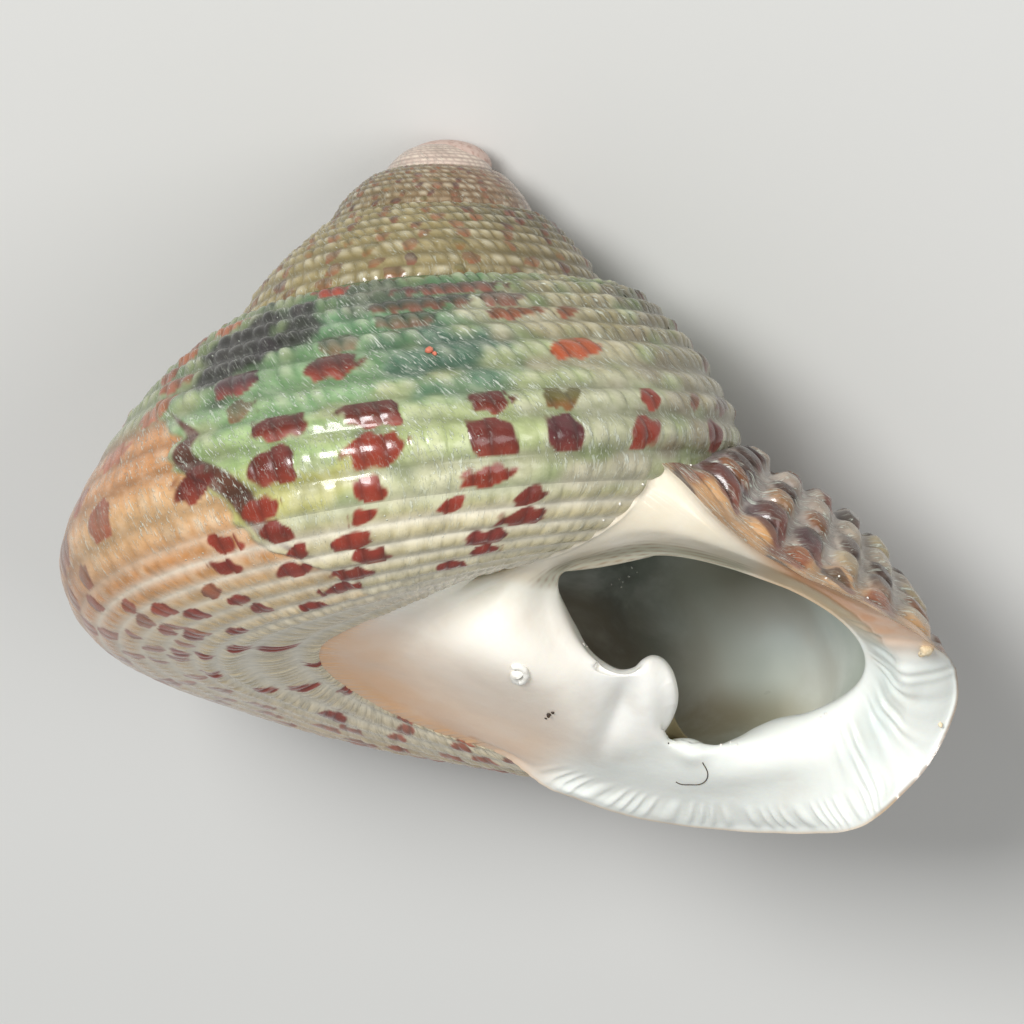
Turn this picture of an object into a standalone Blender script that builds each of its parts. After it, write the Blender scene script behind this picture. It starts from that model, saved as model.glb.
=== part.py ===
"""Top shell, lying on its back with the mouth up. Metres, +Z up."""
import math

import bpy
import numpy as np

MM = 0.001

# --- growth: radius and height of a whorl section per turn before the lip -------------------------
GROW_R = (0.555, -0.010)      # ln(radius) = a t + b t^2, t in turns (negative = older)
GROW_Z = 0.621                # ln(depth below the apex) = c t
APEX_OFFSET = 0.63            # the spiral's own zero lies this far above the rounded apex
LIP_AZIMUTH = -47.6           # where the outer lip meets the whorl before it, degrees
START_TURN = -4.3
LEAN = 0.10                   # the spire's early whorls lean toward +X, by this slope
LEAN_FROM, LEAN_OVER = 1.6, 0.5        # turns before the lip where the lean sets in, and over how many

# --- section of the last whorl at the lip: (radius, depth below the apex), mm ---------------------
SECTION = np.array([
    (10.10, 9.90), (11.25, 11.09), (12.85, 12.66), (14.21, 14.24), (15.47, 15.91), (16.32, 17.39),
    (17.01, 18.90), (17.42, 20.32), (17.15, 21.95), (16.25, 23.10), (14.90, 23.70), (13.20, 24.00),
    (11.28, 24.15), (9.32, 24.15), (7.72, 23.80)])
# what is added to it, station by station, mm
BASE_SAG = np.array([0, 0, 0, 0, 0, 0, 0, 0, 0.2, 0.8, 1.7, 2.4, 2.8, 3.0, 3.0])  # older base, deeper
VISOR = np.array([3.1, 2.2, 2.6, 2.5, 2.0, 1.2, 0.3, 0, 0.2, 0.5, 0.8, 0.8, 0.8, 0.8, 0.8])  # lip, lower
TUCK = np.array([0, 0, 0, -0.2, -0.45, -0.4, -0.1, 0.2, 0.65, 1.0, 0.6, 0, 0, 0, 0])  # lip, drawn in
SLUMP = np.array([0, 1.2, 0.6, 0.1, 0, 0, 0, 0, 0, 0, 0, 0, 0, 0, 0])  # shoulder near the lip, lower
SAG_FROM, SAG_OVER = 0.45, 0.40        # turns before the lip where the base sags, and over how many
VISOR_REACH = 0.075                    # turns before the lip where it begins to bend down
TUCK_REACH = 0.30                      # and to be drawn in
RIM_NARROW = 0.27                      # share by which the older umbilical rim is narrower
RIM_FROM, RIM_OVER = 0.28, 0.35        # turns before the lip where it narrows, and over how many
SEAM_AT = 6.4                 # section station where the next whorl is seated
SEAM_DROP = 2.45              # how many stations lower it is seated at the lip
SEAM_FROM = 0.42              # turns before the lip where it begins to drop
PULL_STATIONS = 1.6           # the whorl's top is pulled onto the whorl before over this many

# --- grid -----------------------------------------------------------------------------------------
STEPS = 29                    # columns a turn
SIDE_ROWS = 8                 # rows from seam to seam
BASE_ROWS = 10                # rows from the seam over the base to the umbilical rim
LAG_COLS = 4                  # columns the growth edge lags at the seam
LAG_RIM = 55.0                # further lag of the lip at the umbilical rim, degrees
LAG_PARIETAL = -20.0          # and of the callus edge
CORD = 0.22                   # height of a spiral cord on the last whorl, mm
BASE_CORD = 0.6               # the base's cords against that
APEX_RISE = -0.05             # height of the apex itself, mm


def smooth(x):
    """The smoothstep of x: 0 below 0, 1 above 1."""
    x = np.clip(x, 0.0, 1.0)
    return x * x * (3.0 - 2.0 * x)


def grow_r(t):
    """How wide the spiral is at time t, against the lip."""
    return np.exp(GROW_R[0] * t + GROW_R[1] * t * t)


def grow_z(t):
    """How deep below its zero the spiral is at time t, against the lip."""
    return np.exp(GROW_Z * t)


def seat(t):
    """Section station of the seam of the whorl laid down at time t."""
    return SEAM_AT + SEAM_DROP * smooth((t + SEAM_FROM) / SEAM_FROM) ** 1.3


def blend(p0, p1, p2, p3, f):
    """Catmull-Rom curve from p1 to p2 at share f."""
    return 0.5 * (2 * p1 + (p2 - p0) * f + (2 * p0 - 5 * p1 + 4 * p2 - p3) * f ** 2
                  + (3 * p1 - p0 - 3 * p2 + p3) * f ** 3)


def section(s, t, tau):
    """Radius and depth at station s of the section laid down at time t (tau: time of its column)."""
    k = np.clip(np.floor(s).astype(int), 0, len(SECTION) - 2)
    sag = smooth((-t - SAG_FROM) / SAG_OVER)
    bend = smooth((tau + VISOR_REACH) / VISOR_REACH)
    tuck = smooth((tau + TUCK_REACH) / TUCK_REACH)
    narrow = 1.0 - RIM_NARROW * smooth((-t - RIM_FROM) / RIM_OVER)

    def point(i):
        """Radius and depth of station i itself."""
        i = np.clip(i, 0, len(SECTION) - 1)
        rim = np.where(i >= len(SECTION) - 1, narrow, 1.0)
        r = SECTION[i, 0] * grow_r(t) * rim - TUCK[i] * tuck
        z = (SECTION[i, 1] + BASE_SAG[i] * sag) * grow_z(t) - APEX_OFFSET
        return np.stack([r, z + VISOR[i] * bend + SLUMP[i] * tuck], -1)

    return blend(point(k - 1), point(k), point(k + 1), point(k + 2), (s - k)[..., None])


def lean(t):
    """Slope by which the whorl laid down at time t leans."""
    return LEAN * smooth((-t - LEAN_FROM) / LEAN_OVER)


def to_space(p, t):
    """Section point (radius, depth) at time t to x, y, z with the apex at the origin."""
    az = np.radians(LIP_AZIMUTH - 360.0 * t)
    x, y = p[..., 0] * np.cos(az), p[..., 0] * np.sin(az)
    return np.stack([x, y, -p[..., 1] - lean(t) * x], -1)


def seam(t):
    """The seam of the whorl laid down at time t: it sits on the whorl before."""
    return to_space(section(seat(t), t - 1.0, t - 1.3), t - 1.0)


def surface(s, t, tau):
    """Point of the outer surface; the top of each whorl is pulled onto the whorl before."""
    pull = np.clip(1.0 - s / PULL_STATIONS, 0, 1) ** 2
    gap = seam(t) - to_space(section(np.zeros_like(s), t, tau), t)
    return to_space(section(s, t, tau), t) + gap * pull[..., None]


# --- mouth: throat edge (place on the loop, x right, h down from the apex, d away), mm -------------
VIEW_TILT = math.radians(9.5)  # the throat is laid out in the view that has the base tilted this much
PLACES = (0, 12, 27, 58, 73)   # lip's top, its shoulder, umbilical rim, callus, and the lip's top again
THROAT = np.array([
    (0, 7.0, 12.8, -3.9), (1, 8.0, 13.0, -3.8), (2, 9.4, 13.4, -3.4), (3, 10.8, 13.95, -2.7),
    (4, 12.1, 14.6, -1.9), (5, 12.9, 15.1, -1.1), (6, 13.25, 15.6, -0.5), (8, 13.4, 16.2, 0.2),
    (10, 13.25, 16.8, 0.8), (12, 12.75, 17.35, 1.3), (14, 12.1, 17.75, 1.6),
    (17, 11.0, 18.15, 1.9), (20, 9.8, 18.5, 2.2), (22, 8.7, 19.05, 2.4), (24, 8.2, 19.2, 2.4),
    (25, 7.7, 18.85, 2.1), (26, 7.1, 18.9, 2.2), (27, 6.6, 19.15, 2.4), (28, 6.5, 19.1, 2.3),
    (30, 6.85, 18.65, 1.7), (33, 7.2, 17.9, 0.9), (36, 7.2, 17.3, 0.5), (39, 6.9, 16.75, 0.1),
    (41, 6.45, 16.65, 0.0), (43, 6.0, 16.65, 0.0), (45, 5.4, 16.5, -0.1), (49, 4.6, 16.1, -0.5),
    (53, 4.05, 15.2, -1.4), (57, 3.6, 14.15, -2.7), (59, 3.15, 13.7, -3.3), (62, 4.05, 13.6, -3.5),
    (65, 5.0, 13.45, -3.6), (68, 5.95, 13.25, -3.8), (71, 6.7, 12.95, -3.95)])
BAND = (0.12, 0.3, 0.5, 0.7, 0.88)       # loops between the lip edge and the throat edge
TROUGH, TROUGH_AT, TROUGH_WIDE = 1.5, 0.22, 0.16       # umbilical trough: depth in the view, mm, and
PILLAR, PILLAR_AT, PILLAR_WIDE = -1.7, 0.68, 0.20      # pillar: both at and over shares of the band
FUNNEL_FROM, FUNNEL_TO = 27, 60          # places that they run between, fading in and out over
FUNNEL_IN, FUNNEL_OUT = 10.0, 8.0        # these many
# cavity behind the throat: (radius, depth) of its section at the lip, mm
CAVITY = np.array([
    (8.2, 13.4), (10.4, 12.1), (12.0, 13.2), (13.5, 15.1), (15.0, 17.3), (15.7, 19.5), (15.4, 21.1),
    (13.9, 22.1), (11.0, 22.4), (8.4, 22.3), (6.7, 21.4), (6.0, 19.5), (5.9, 16.8), (6.4, 14.5)])
CAVITY_START, CAVITY_STEP, CAVITY_LOOPS = 30.0, 30.0, 7      # azimuth of the first loop, degrees


def catmull(points, at, closed=False):
    """The curve through points, at their own parameter 0..n-1."""
    n = len(points)
    k = np.floor(at).astype(int)
    near = [points[i % n] if closed else points[np.clip(i, 0, n - 1)] for i in (k - 1, k, k + 1, k + 2)]
    return blend(*near, (at - k)[:, None])


def from_view(q):
    """x, h, d in the tilted view to x, y, z."""
    x, h, d = q[..., 0], q[..., 1], q[..., 2]
    up = (-h + d * math.sin(VIEW_TILT)) / math.cos(VIEW_TILT)
    return np.stack([x, d, up], -1)


def to_view(p):
    """x, y, z to x, h, d in the tilted view."""
    h = -(p[..., 2] * math.cos(VIEW_TILT) - p[..., 1] * math.sin(VIEW_TILT))
    return np.stack([p[..., 0], h, p[..., 1]], -1)


def bump(x, centre, width):
    """A bell of height 1 at centre."""
    return np.exp(-((x - centre) / width) ** 2)


def outer_grid():
    """The outer surface in rows down from the seam, as {(row, column): vertex number} and vertices.

    A whorl's last side row is the next whorl's first, so the seam is shared. Also the first column
    whose base is open to the outside, and the last column.
    """
    n, m = STEPS, LAG_COLS
    last = round(-START_TURN * n)
    first = last - n + m
    cols = (np.arange(last + 1) - last) / n
    lag = m / n
    rows = []
    for i in range(SIDE_ROWS + 1):
        x = i / SIDE_ROWS
        t = cols - lag * math.sin(math.pi * x / 2)
        rows.append(surface(seat(cols - lag + 1.0) * x, t, cols))
    base = cols[first:]
    share = np.linspace(0, 1, len(base))
    rim = len(SECTION) - 1.0
    s0 = seat(base - lag + 1.0)
    for i in range(1, BASE_ROWS + 1):
        x = i / BASE_ROWS
        more = (LAG_PARIETAL + (LAG_RIM - LAG_PARIETAL) * share) / 360.0 * x ** 1.4
        rows.append(surface(s0 + (rim - s0) * x, base - lag - more, base))

    verts, ids = [], {}
    for i, row in enumerate(rows):
        start = first if i > SIDE_ROWS else 0
        for j, p in enumerate(row, start):
            if i > 0 or j < n - m:
                ids[i, j] = len(verts)
                verts.append(p)
    for j in range(n - m, last + 1):
        ids[0, j] = ids[SIDE_ROWS, j - (n - m)]
    return np.array(verts), ids, first, last


def raise_cords(verts, ids, last):
    """The vertices with every other row standing proud, as a spiral cord."""
    raised = verts.copy()
    middle = verts.mean(0)
    for (i, j), v in ids.items():
        if i % 2 == 0 or (i + 1, j) not in ids:
            continue
        before, after = ids.get((i, j - 1), v), ids.get((i, j + 1), v)
        across = np.cross(verts[after] - verts[before], verts[ids[i + 1, j]] - verts[ids[i - 1, j]])
        across /= np.linalg.norm(across)
        outward = np.dot(across[:2], verts[v][:2]) + across[2] * (verts[v][2] - middle[2])
        height = CORD * grow_r((j - last) / STEPS) * (BASE_CORD if i > SIDE_ROWS else 1.0)
        raised[v] = verts[v] + across * math.copysign(height, outward)
    return raised


def mouth_edge(ids, first, last):
    """Vertex numbers round the mouth: down the lip, back along the rim, up the callus."""
    rows = SIDE_ROWS + BASE_ROWS
    return ([ids[i, last] for i in range(rows + 1)]
            + [ids[rows, j] for j in range(last - 1, first - 1, -1)]
            + [ids[i, first] for i in range(rows - 1, SIDE_ROWS, -1)])


def mouth_loops(edge):
    """The loops inside the mouth's edge: band, throat edge, and cavity along the spiral."""
    count = len(edge)
    edge = to_view(edge)
    corners = np.cumsum([0, SIDE_ROWS, BASE_ROWS, STEPS - LAG_COLS, BASE_ROWS])
    place = np.interp(np.arange(count), corners, PLACES)
    keys = np.append(THROAT[:, 0], PLACES[-1])
    throat = catmull(THROAT[:, 1:], np.interp(place, keys, np.arange(len(keys))), closed=True)
    funnel = smooth((place - FUNNEL_FROM) / FUNNEL_IN) * smooth((FUNNEL_TO - place) / FUNNEL_OUT)
    loops = []
    for f in BAND + (1.0,):
        q = edge + (throat - edge) * f
        forms = TROUGH * bump(f, TROUGH_AT, TROUGH_WIDE) + PILLAR * bump(f, PILLAR_AT, PILLAR_WIDE)
        q[:, 2] += funnel * forms
        loops.append(from_view(q))
    # the cavity's section follows the throat's edge round, by length
    length = np.linalg.norm(np.roll(throat, -1, axis=0) - throat, axis=1)
    share = (np.cumsum(length) - length) / length.sum()
    rz = catmull(CAVITY, share * len(CAVITY), closed=True)
    for c in range(CAVITY_LOOPS):
        t = (LIP_AZIMUTH - (CAVITY_START + CAVITY_STEP * c)) / 360.0
        p = np.stack([rz[:, 0] * grow_r(t), rz[:, 1] * grow_z(t) - APEX_OFFSET], -1)
        loops.append(to_space(p, np.full(count, t)))
    return loops


def build_mesh():
    """Vertices (mm) and faces of the shell, apex at the origin and up."""
    verts, ids, first, last = outer_grid()
    verts = list(raise_cords(verts, ids, last))
    faces = []
    for i, j in ids:
        quad = [(i, j), (i + 1, j), (i + 1, j + 1), (i, j + 1)]
        if all(q in ids for q in quad):
            faces.append([ids[q] for q in quad])

    # the spiral starts round the apex
    ring = [ids[0, j] for j in range(STEPS - LAG_COLS + 1)]
    ring += [ids[i, 0] for i in range(SIDE_ROWS - 1, 0, -1)]
    apex = len(verts)
    verts.append(np.array([0.0, 0.0, APEX_RISE]))
    faces += [[b, apex, a] for a, b in zip(ring, ring[1:] + ring[:1])]

    edge = mouth_edge(ids, first, last)
    loops = [edge]
    for loop in mouth_loops(np.array([verts[v] for v in edge])):
        loops.append(list(range(len(verts), len(verts) + len(edge))))
        verts.extend(loop)
    for a, b in zip(loops, loops[1:]):
        faces += [[a[k - 1], a[k], b[k], b[k - 1]] for k in range(len(edge))]
    end = len(verts)
    verts.append(np.mean([verts[v] for v in loops[-1]], axis=0))
    faces += [[loops[-1][k - 1], loops[-1][k], end] for k in range(len(edge))]
    return np.array(verts), [face[::-1] for face in faces]


# --- the way it lies ------------------------------------------------------------------------------
DOWN = (0.2049, 0.6868, 0.6974)   # the side it lies on, in the shell's own axes (+Z to the apex)
FACING = (0.0, -0.986, -0.165)    # the side that faces the front (-Y)
FLAT = 0.4                        # its underside is worn flat this deep where it lies, mm


def lie_down(p):
    """The points turned onto the worn side, with the origin under the middle of their box."""
    up = -np.array(DOWN) / np.linalg.norm(DOWN)
    back = -np.array(FACING)
    back = back - up * np.dot(back, up)
    back /= np.linalg.norm(back)
    turn = np.stack([np.cross(back, up), back, up])
    q = p @ turn.T
    q[:, 2] = np.maximum(q[:, 2], q[:, 2].min() + FLAT)
    low, high = q.min(0), q.max(0)
    return q - np.array([(low[0] + high[0]) / 2, (low[1] + high[1]) / 2, low[2]])


def aragonite():
    """The shell's material."""
    mat = bpy.data.materials.new("shell_aragonite")
    mat.use_nodes = True
    bsdf = mat.node_tree.nodes["Principled BSDF"]
    bsdf.inputs["Base Color"].default_value = (0.52, 0.47, 0.36, 1.0)
    bsdf.inputs["Roughness"].default_value = 0.35
    return mat


def main():
    """Clears the scene and makes the shell in a collection of its own."""
    for old in list(bpy.data.objects):
        bpy.data.objects.remove(old, do_unlink=True)
    verts, faces = build_mesh()
    mesh = bpy.data.meshes.new("shell")
    mesh.from_pydata([tuple(v) for v in lie_down(verts) * MM], [], faces)
    mesh.shade_smooth()
    mesh.materials.append(aragonite())
    shell = bpy.data.objects.new("shell", mesh)
    group = bpy.data.collections.new("top_shell")
    bpy.context.scene.collection.children.link(group)
    group.objects.link(shell)


main()
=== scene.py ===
"""Looks of a top shell that lies on its back with the mouth up.

The whorls grow from the same spiral as the solid. The fine surface adds beaded cords, growth
threads and maroon blotches, a porcelain mouth with a toothed pillar, a nacre throat, and the
grains, tube and fibre that the sea left on it.
"""
import logging
import math
from dataclasses import dataclass, field
from enum import Enum
from typing import Callable

import bmesh
import bpy
import numpy as np
from mathutils import Matrix, Vector


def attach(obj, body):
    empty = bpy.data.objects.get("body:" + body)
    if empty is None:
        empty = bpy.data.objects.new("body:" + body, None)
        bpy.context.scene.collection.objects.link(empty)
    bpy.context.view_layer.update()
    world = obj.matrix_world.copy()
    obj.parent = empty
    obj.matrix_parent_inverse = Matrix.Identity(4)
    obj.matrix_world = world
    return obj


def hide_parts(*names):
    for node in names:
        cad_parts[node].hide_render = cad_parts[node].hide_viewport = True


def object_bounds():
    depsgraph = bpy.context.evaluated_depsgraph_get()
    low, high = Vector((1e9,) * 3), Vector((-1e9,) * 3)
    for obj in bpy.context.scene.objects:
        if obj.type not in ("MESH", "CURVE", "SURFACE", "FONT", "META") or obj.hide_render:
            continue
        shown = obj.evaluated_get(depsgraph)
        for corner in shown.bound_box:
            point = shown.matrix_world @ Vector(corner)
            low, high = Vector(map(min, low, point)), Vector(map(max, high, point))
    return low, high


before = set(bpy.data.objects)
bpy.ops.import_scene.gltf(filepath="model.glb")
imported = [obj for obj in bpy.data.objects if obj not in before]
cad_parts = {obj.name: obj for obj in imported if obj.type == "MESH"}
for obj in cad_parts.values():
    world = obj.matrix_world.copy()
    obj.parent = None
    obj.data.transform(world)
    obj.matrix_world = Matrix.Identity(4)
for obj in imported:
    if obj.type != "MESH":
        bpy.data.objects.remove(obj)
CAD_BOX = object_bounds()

MM = 0.001
LAP = 0.0005  # turns by which the lip's stretch overlaps the one before
SAME_PLACE = 1e-7  # points this close, in metres, are one
SHUFFLE = (12.9898, 78.233, 37.719, 4.581)  # weights that scramble whole numbers
SPREAD = 43758.5453
Array = np.ndarray
log = logging.getLogger("top_shell")


# ---- small curves ----
def smooth(x: Array) -> Array:
    """Return the smoothstep of x, 0 below 0 and 1 above 1."""
    x = np.clip(x, 0.0, 1.0)
    return x * x * (3.0 - 2.0 * x)


def hump(x: Array, centre: float, width: float) -> Array:
    """Return a bell of height 1 at centre that falls to a third at centre + width."""
    return np.exp(-((x - centre) / width) ** 2)


def span(x: Array, low: float, high: float, soft: float) -> Array:
    """Return 1 between low and high, with edges that fade over soft."""
    return smooth((x - low) / soft + 0.5) * smooth((high - x) / soft + 0.5)


def chance(*keys: Array) -> Array:
    """Return one fixed number from 0 to 1 for each combination of whole-number keys.

    Args:
        keys: arrays of whole numbers, such as a bead's number and its cord's.

    Returns:
        An array of the broadcast shape.
    """
    mixed = 0.0
    for weight, key in zip(SHUFFLE, keys):
        mixed = mixed + np.asarray(key, float) * weight
    return np.mod(np.sin(mixed) * SPREAD, 1.0)


def between(before: Array, start: Array, end: Array, after: Array, f: Array) -> Array:
    """Return the Catmull-Rom curve at share f of the way from start to end."""
    return 0.5 * (2 * start + (end - before) * f
                  + (2 * before - 5 * start + 4 * end - after) * f ** 2
                  + (3 * start - before - 3 * end + after) * f ** 3)


def catmull(points: Array, at: Array, closed: bool = False) -> Array:
    """Return the Catmull-Rom curve through points at their own parameter.

    Args:
        points: array of n points.
        at: parameters from 0 to n - 1, or to n on a closed curve.
        closed: whether the last point leads back to the first.

    Returns:
        One point for each parameter.
    """
    count = len(points)
    k = np.floor(at).astype(int)
    f = (at - k)[..., None]

    def near(i: Array) -> Array:
        """Return the points numbered i."""
        return points[i % count] if closed else points[np.clip(i, 0, count - 1)]

    return between(near(k - 1), near(k), near(k + 1), near(k + 2), f)


def across(a: Array, b: Array) -> Array:
    """Return the unit vectors square to a and b."""
    n = np.cross(a, b)
    return n / (np.linalg.norm(n, axis=-1, keepdims=True) + 1e-12)


# ---- colours ----
def paint(red: int, green: int, blue: int) -> Array:
    """Return a screen colour, 0 to 255 a channel, as linear light."""
    c = np.array([red, green, blue]) / 255.0
    return np.where(c <= 0.04045, c / 12.92, ((c + 0.055) / 1.055) ** 2.4)


def blend(under: Array, over: Array, mask: Array) -> Array:
    """Lay one colour over another by a mask.

    Args:
        under: the colour below.
        over: the colour above.
        mask: how well the upper one covers, 0 to 1.

    Returns:
        The mixed colour.
    """
    return under + (over - under) * np.clip(mask, 0, 1)[..., None]


class Hue(Enum):
    """The screen colours of the outer surface, the porcelain and the nacre."""

    SPIRE_TAN = (124, 108, 68)
    SPIRE_STRAW = (150, 134, 84)
    SPIRE_OLIVE = (84, 76, 50)
    SPIRE_BROWN = (136, 98, 70)
    SPIRE_PINK = (206, 184, 170)
    SIDE_GREEN = (156, 166, 118)
    SHOULDER_GREEN = (108, 124, 78)
    BASE_BUFF = (196, 184, 142)
    BASE_CREAM = (216, 206, 182)
    SCAR_MAROON = (84, 18, 20)
    NEW_ORANGE = (200, 134, 72)
    NEW_CREAM = (226, 190, 142)
    NEW_BUFF = (208, 178, 128)
    NEW_GREY = (210, 198, 168)
    NEW_BROWN = (118, 92, 66)
    LIP_GREY = (158, 140, 122)
    LIP_PURPLE = (92, 62, 74)
    LIP_STRAW = (172, 158, 128)
    EDGE_ORANGE = (214, 160, 100)
    EDGE_RUST = (128, 52, 26)
    GROOVE_WHITE = (236, 230, 212)
    GROOVE_LILAC = (166, 156, 152)
    CREST_WHITE = (226, 220, 196)
    BEAD_DARK = (52, 22, 16)
    BEAD_AMBER = (132, 78, 36)
    BEAD_PALE = (166, 150, 118)
    BLOTCH_FADED = (156, 62, 48)
    # painted highlight on the lower side of a blotched cord
    BLOTCH_PAINTED_HIGHLIGHT = (206, 92, 62)
    PORCELAIN = (232, 230, 220)
    BEVEL_WHITE = (228, 232, 226)
    BEVEL_BLUE = (202, 214, 210)
    BEVEL_UMBER = (120, 96, 74)
    BEVEL_BISCUIT = (214, 186, 150)
    UPPER_PEACH = (222, 190, 148)
    UPPER_ORANGE = (196, 124, 66)
    FUNNEL_WHITE = (246, 240, 228)
    # peach of the funnel's lower left rim, partly painted shade of its hollow
    FUNNEL_PEACH_AND_SHADE = (240, 208, 176)
    FUNNEL_ORANGE = (224, 168, 112)
    # painted shadow under the overhanging base
    FUNNEL_PAINTED_SHADOW = (236, 234, 220)
    PILLAR_WHITE = (246, 246, 240)
    WALL_CREAM = (226, 216, 194)
    STREAK_BROWN = (142, 116, 88)
    STREAK_GREEN = (158, 166, 142)
    NACRE = (226, 230, 216)
    NACRE_EDGE = (166, 168, 140)
    # painted shade deep in the throat
    NACRE_DEPTH_SHADE = (150, 160, 158)
    NACRE_DARK = (44, 48, 44)
    NACRE_SHADE = (92, 98, 92)
    # painted light on the right of the throat
    NACRE_PAINTED_LIGHT = (224, 236, 236)
    NACRE_TAN = (164, 146, 104)


def even(hue: Hue, shape: tuple) -> Array:
    """Return one colour for every place of a grid."""
    return np.broadcast_to(paint(*hue.value), (*shape, 3)).copy()


def coated(under: Array, *coats: tuple) -> Array:
    """Lay colours over a colour, one after the other.

    Args:
        under: the colour below.
        coats: for each its hue, where it lies (0 to 1), and how well it covers there.

    Returns:
        The colour on top.
    """
    for hue, where, strength in coats:
        under = blend(under, paint(*hue.value), where * strength)
    return under


class Tone(Enum):
    """The colours of a blotch on a cord."""

    BLACK = (34, 20, 26)
    PLUM = (70, 32, 40)
    MAROON = (88, 24, 16)
    RED = (132, 42, 22)
    ORANGE = (166, 78, 38)
    BROWN = (112, 70, 44)
    OLIVE = (96, 88, 40)
    TAN = (162, 126, 84)


@dataclass(frozen=True)
class Blotch:
    """A coloured stretch of one cord.

    Args:
        cord: number of the cord, 0 next to the suture.
        back: middle of the stretch, degrees back from the lip.
        beads: how many beads it covers.
        tone: its colour.
        strength: how well it covers.
    """

    cord: int
    back: float
    beads: float
    tone: Tone
    strength: float = 1.0


@dataclass(frozen=True)
class Cloud:
    """A soft patch of ground colour.

    Args:
        s: station of its middle.
        back: middle, degrees back from the lip.
        tall: half height, in stations.
        long: half length, degrees.
        tint: its screen colour.
        strength: how well it covers.
    """

    s: float
    back: float
    tall: float
    long: float
    tint: tuple
    strength: float = 0.8

    def at(self, s: Array, back: Array) -> Array:
        """Return how well it covers a place.

        Args:
            s: station.
            back: degrees back from the lip.

        Returns:
            Shares from 0 to 1.
        """
        u, v = (s - self.s) / self.tall, (back - self.back) / self.long
        ragged = 0.25 * np.sin(s * 4.1 + back * 0.21) + 0.2 * np.sin(back * 0.53 - s * 2.7)
        return self.strength * smooth((1.25 + ragged - np.sqrt(u * u + v * v)) / 0.7)


def scattered(cords: range, since: float, until: float, gap: float, beads: float, tones: tuple,
              strength: float = 0.85) -> list:
    """Return blotches strewn along some cords.

    Args:
        cords: numbers of the cords.
        since: first place, degrees back from the lip.
        until: last place.
        gap: usual distance between two of them, degrees.
        beads: how many beads one covers.
        tones: the tones to choose from.
        strength: how well they cover.

    Returns:
        The blotches.
    """
    made = []
    for cord in cords:
        back = since + gap * float(chance(cord, 7))
        while back < until:
            luck = float(chance(round(back), cord))
            made.append(Blotch(cord, back, beads * (0.6 + 0.8 * luck),
                               tones[int(luck * 9.99) % len(tones)], strength))
            back += gap * (0.65 + 0.7 * float(chance(cord, round(back))))
    return made


def marks() -> tuple:
    """Return the blotches of the whole shell, those of its best side listed one by one."""
    black, plum, maroon, red, orange, brown, olive, tan = Tone
    chosen = [Blotch(*row) for row in (
        (0, 287, 4, red), (1, 319, 11, plum, 0.85), (2, 312, 9, black, 0.85), (2, 332, 4, plum, 0.8),
        (3, 310, 5, black, 0.7), (3, 333, 5, brown), (3, 346, 2, brown), (4, 296, 3, plum, 0.6),
        (5, 278, 3, plum), (5, 297, 4, maroon), (5, 344.5, 4, orange), (6, 281, 2, maroon, 0.7),
        (7, 289.6, 3.4, maroon), (7, 305.7, 4, maroon), (7, 325.5, 2.6, maroon), (7, 336.7, 1, olive),
        (7, 340.3, 1, olive), (7, 358, 1.6, red), (7, 372, 1.2, brown), (8, 274, 3, maroon),
        (8, 289.6, 3.4, maroon), (8, 306.5, 4, red), (8, 325.7, 3, maroon), (8, 338.7, 2, plum),
        (8, 356, 2, red), (8, 378, 1.6, maroon), (9, 286.2, 3, red), (9, 304.9, 2, red),
        (9, 325.8, 4, red), (10, 277, 2, red), (10, 287.5, 2, maroon), (10, 303.6, 2, red),
        (10, 319.2, 2, red), (10, 333.5, 2, maroon), (11, 274.2, 2, maroon), (11, 289.5, 2, maroon),
        (11, 300.5, 3, red), (11, 333.6, 4, maroon), (12, 251.2, 2, orange), (12, 266.5, 2, tan),
        (12, 286.7, 3, maroon), (12, 303.1, 3, maroon), (12, 326.4, 4, plum), (13, 241.4, 2, orange),
        (13, 256, 2, red), (13, 270, 2, red), (13, 298.1, 4, maroon), (13, 326.8, 3, maroon),
        (14, 226.8, 2, red), (14, 243, 2, maroon), (14, 270.5, 2, maroon), (14, 292.7, 4, maroon),
        (14, 319.6, 3, maroon), (15, 209.7, 2, red), (15, 228, 2, red), (15, 254.8, 3, maroon),
        (15, 283, 3, maroon), (16, 167.4, 4, plum), (16, 192.9, 2, red), (16, 240, 3, red),
        (17, 188.3, 2, red), (17, 238.6, 3, red), (18, 177.2, 2, red), (18, 208.7, 2, red),
        (2, 87.7, 2, maroon))]
    deep, warm = (plum, maroon, black), (red, maroon, orange)
    return tuple(
        chosen
        + scattered(range(9, 19), 40, 164, 17, 2.2, warm)
        + scattered(range(9, 15), 166, 248, 15, 1.8, (red, orange, brown))
        + scattered(range(0, 4), 2, 62, 14, 1.3, (black, maroon, plum), 0.8)
        + scattered(range(0, 9), 64, 262, 22, 2.8, warm, 0.8)
        + scattered(range(1, 9), 384, 560, 22, 2.4, deep, 0.75)
        + scattered(range(0, 8), 560, 1100, 17, 1.5, (brown, plum, olive, brown), 0.7))


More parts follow.
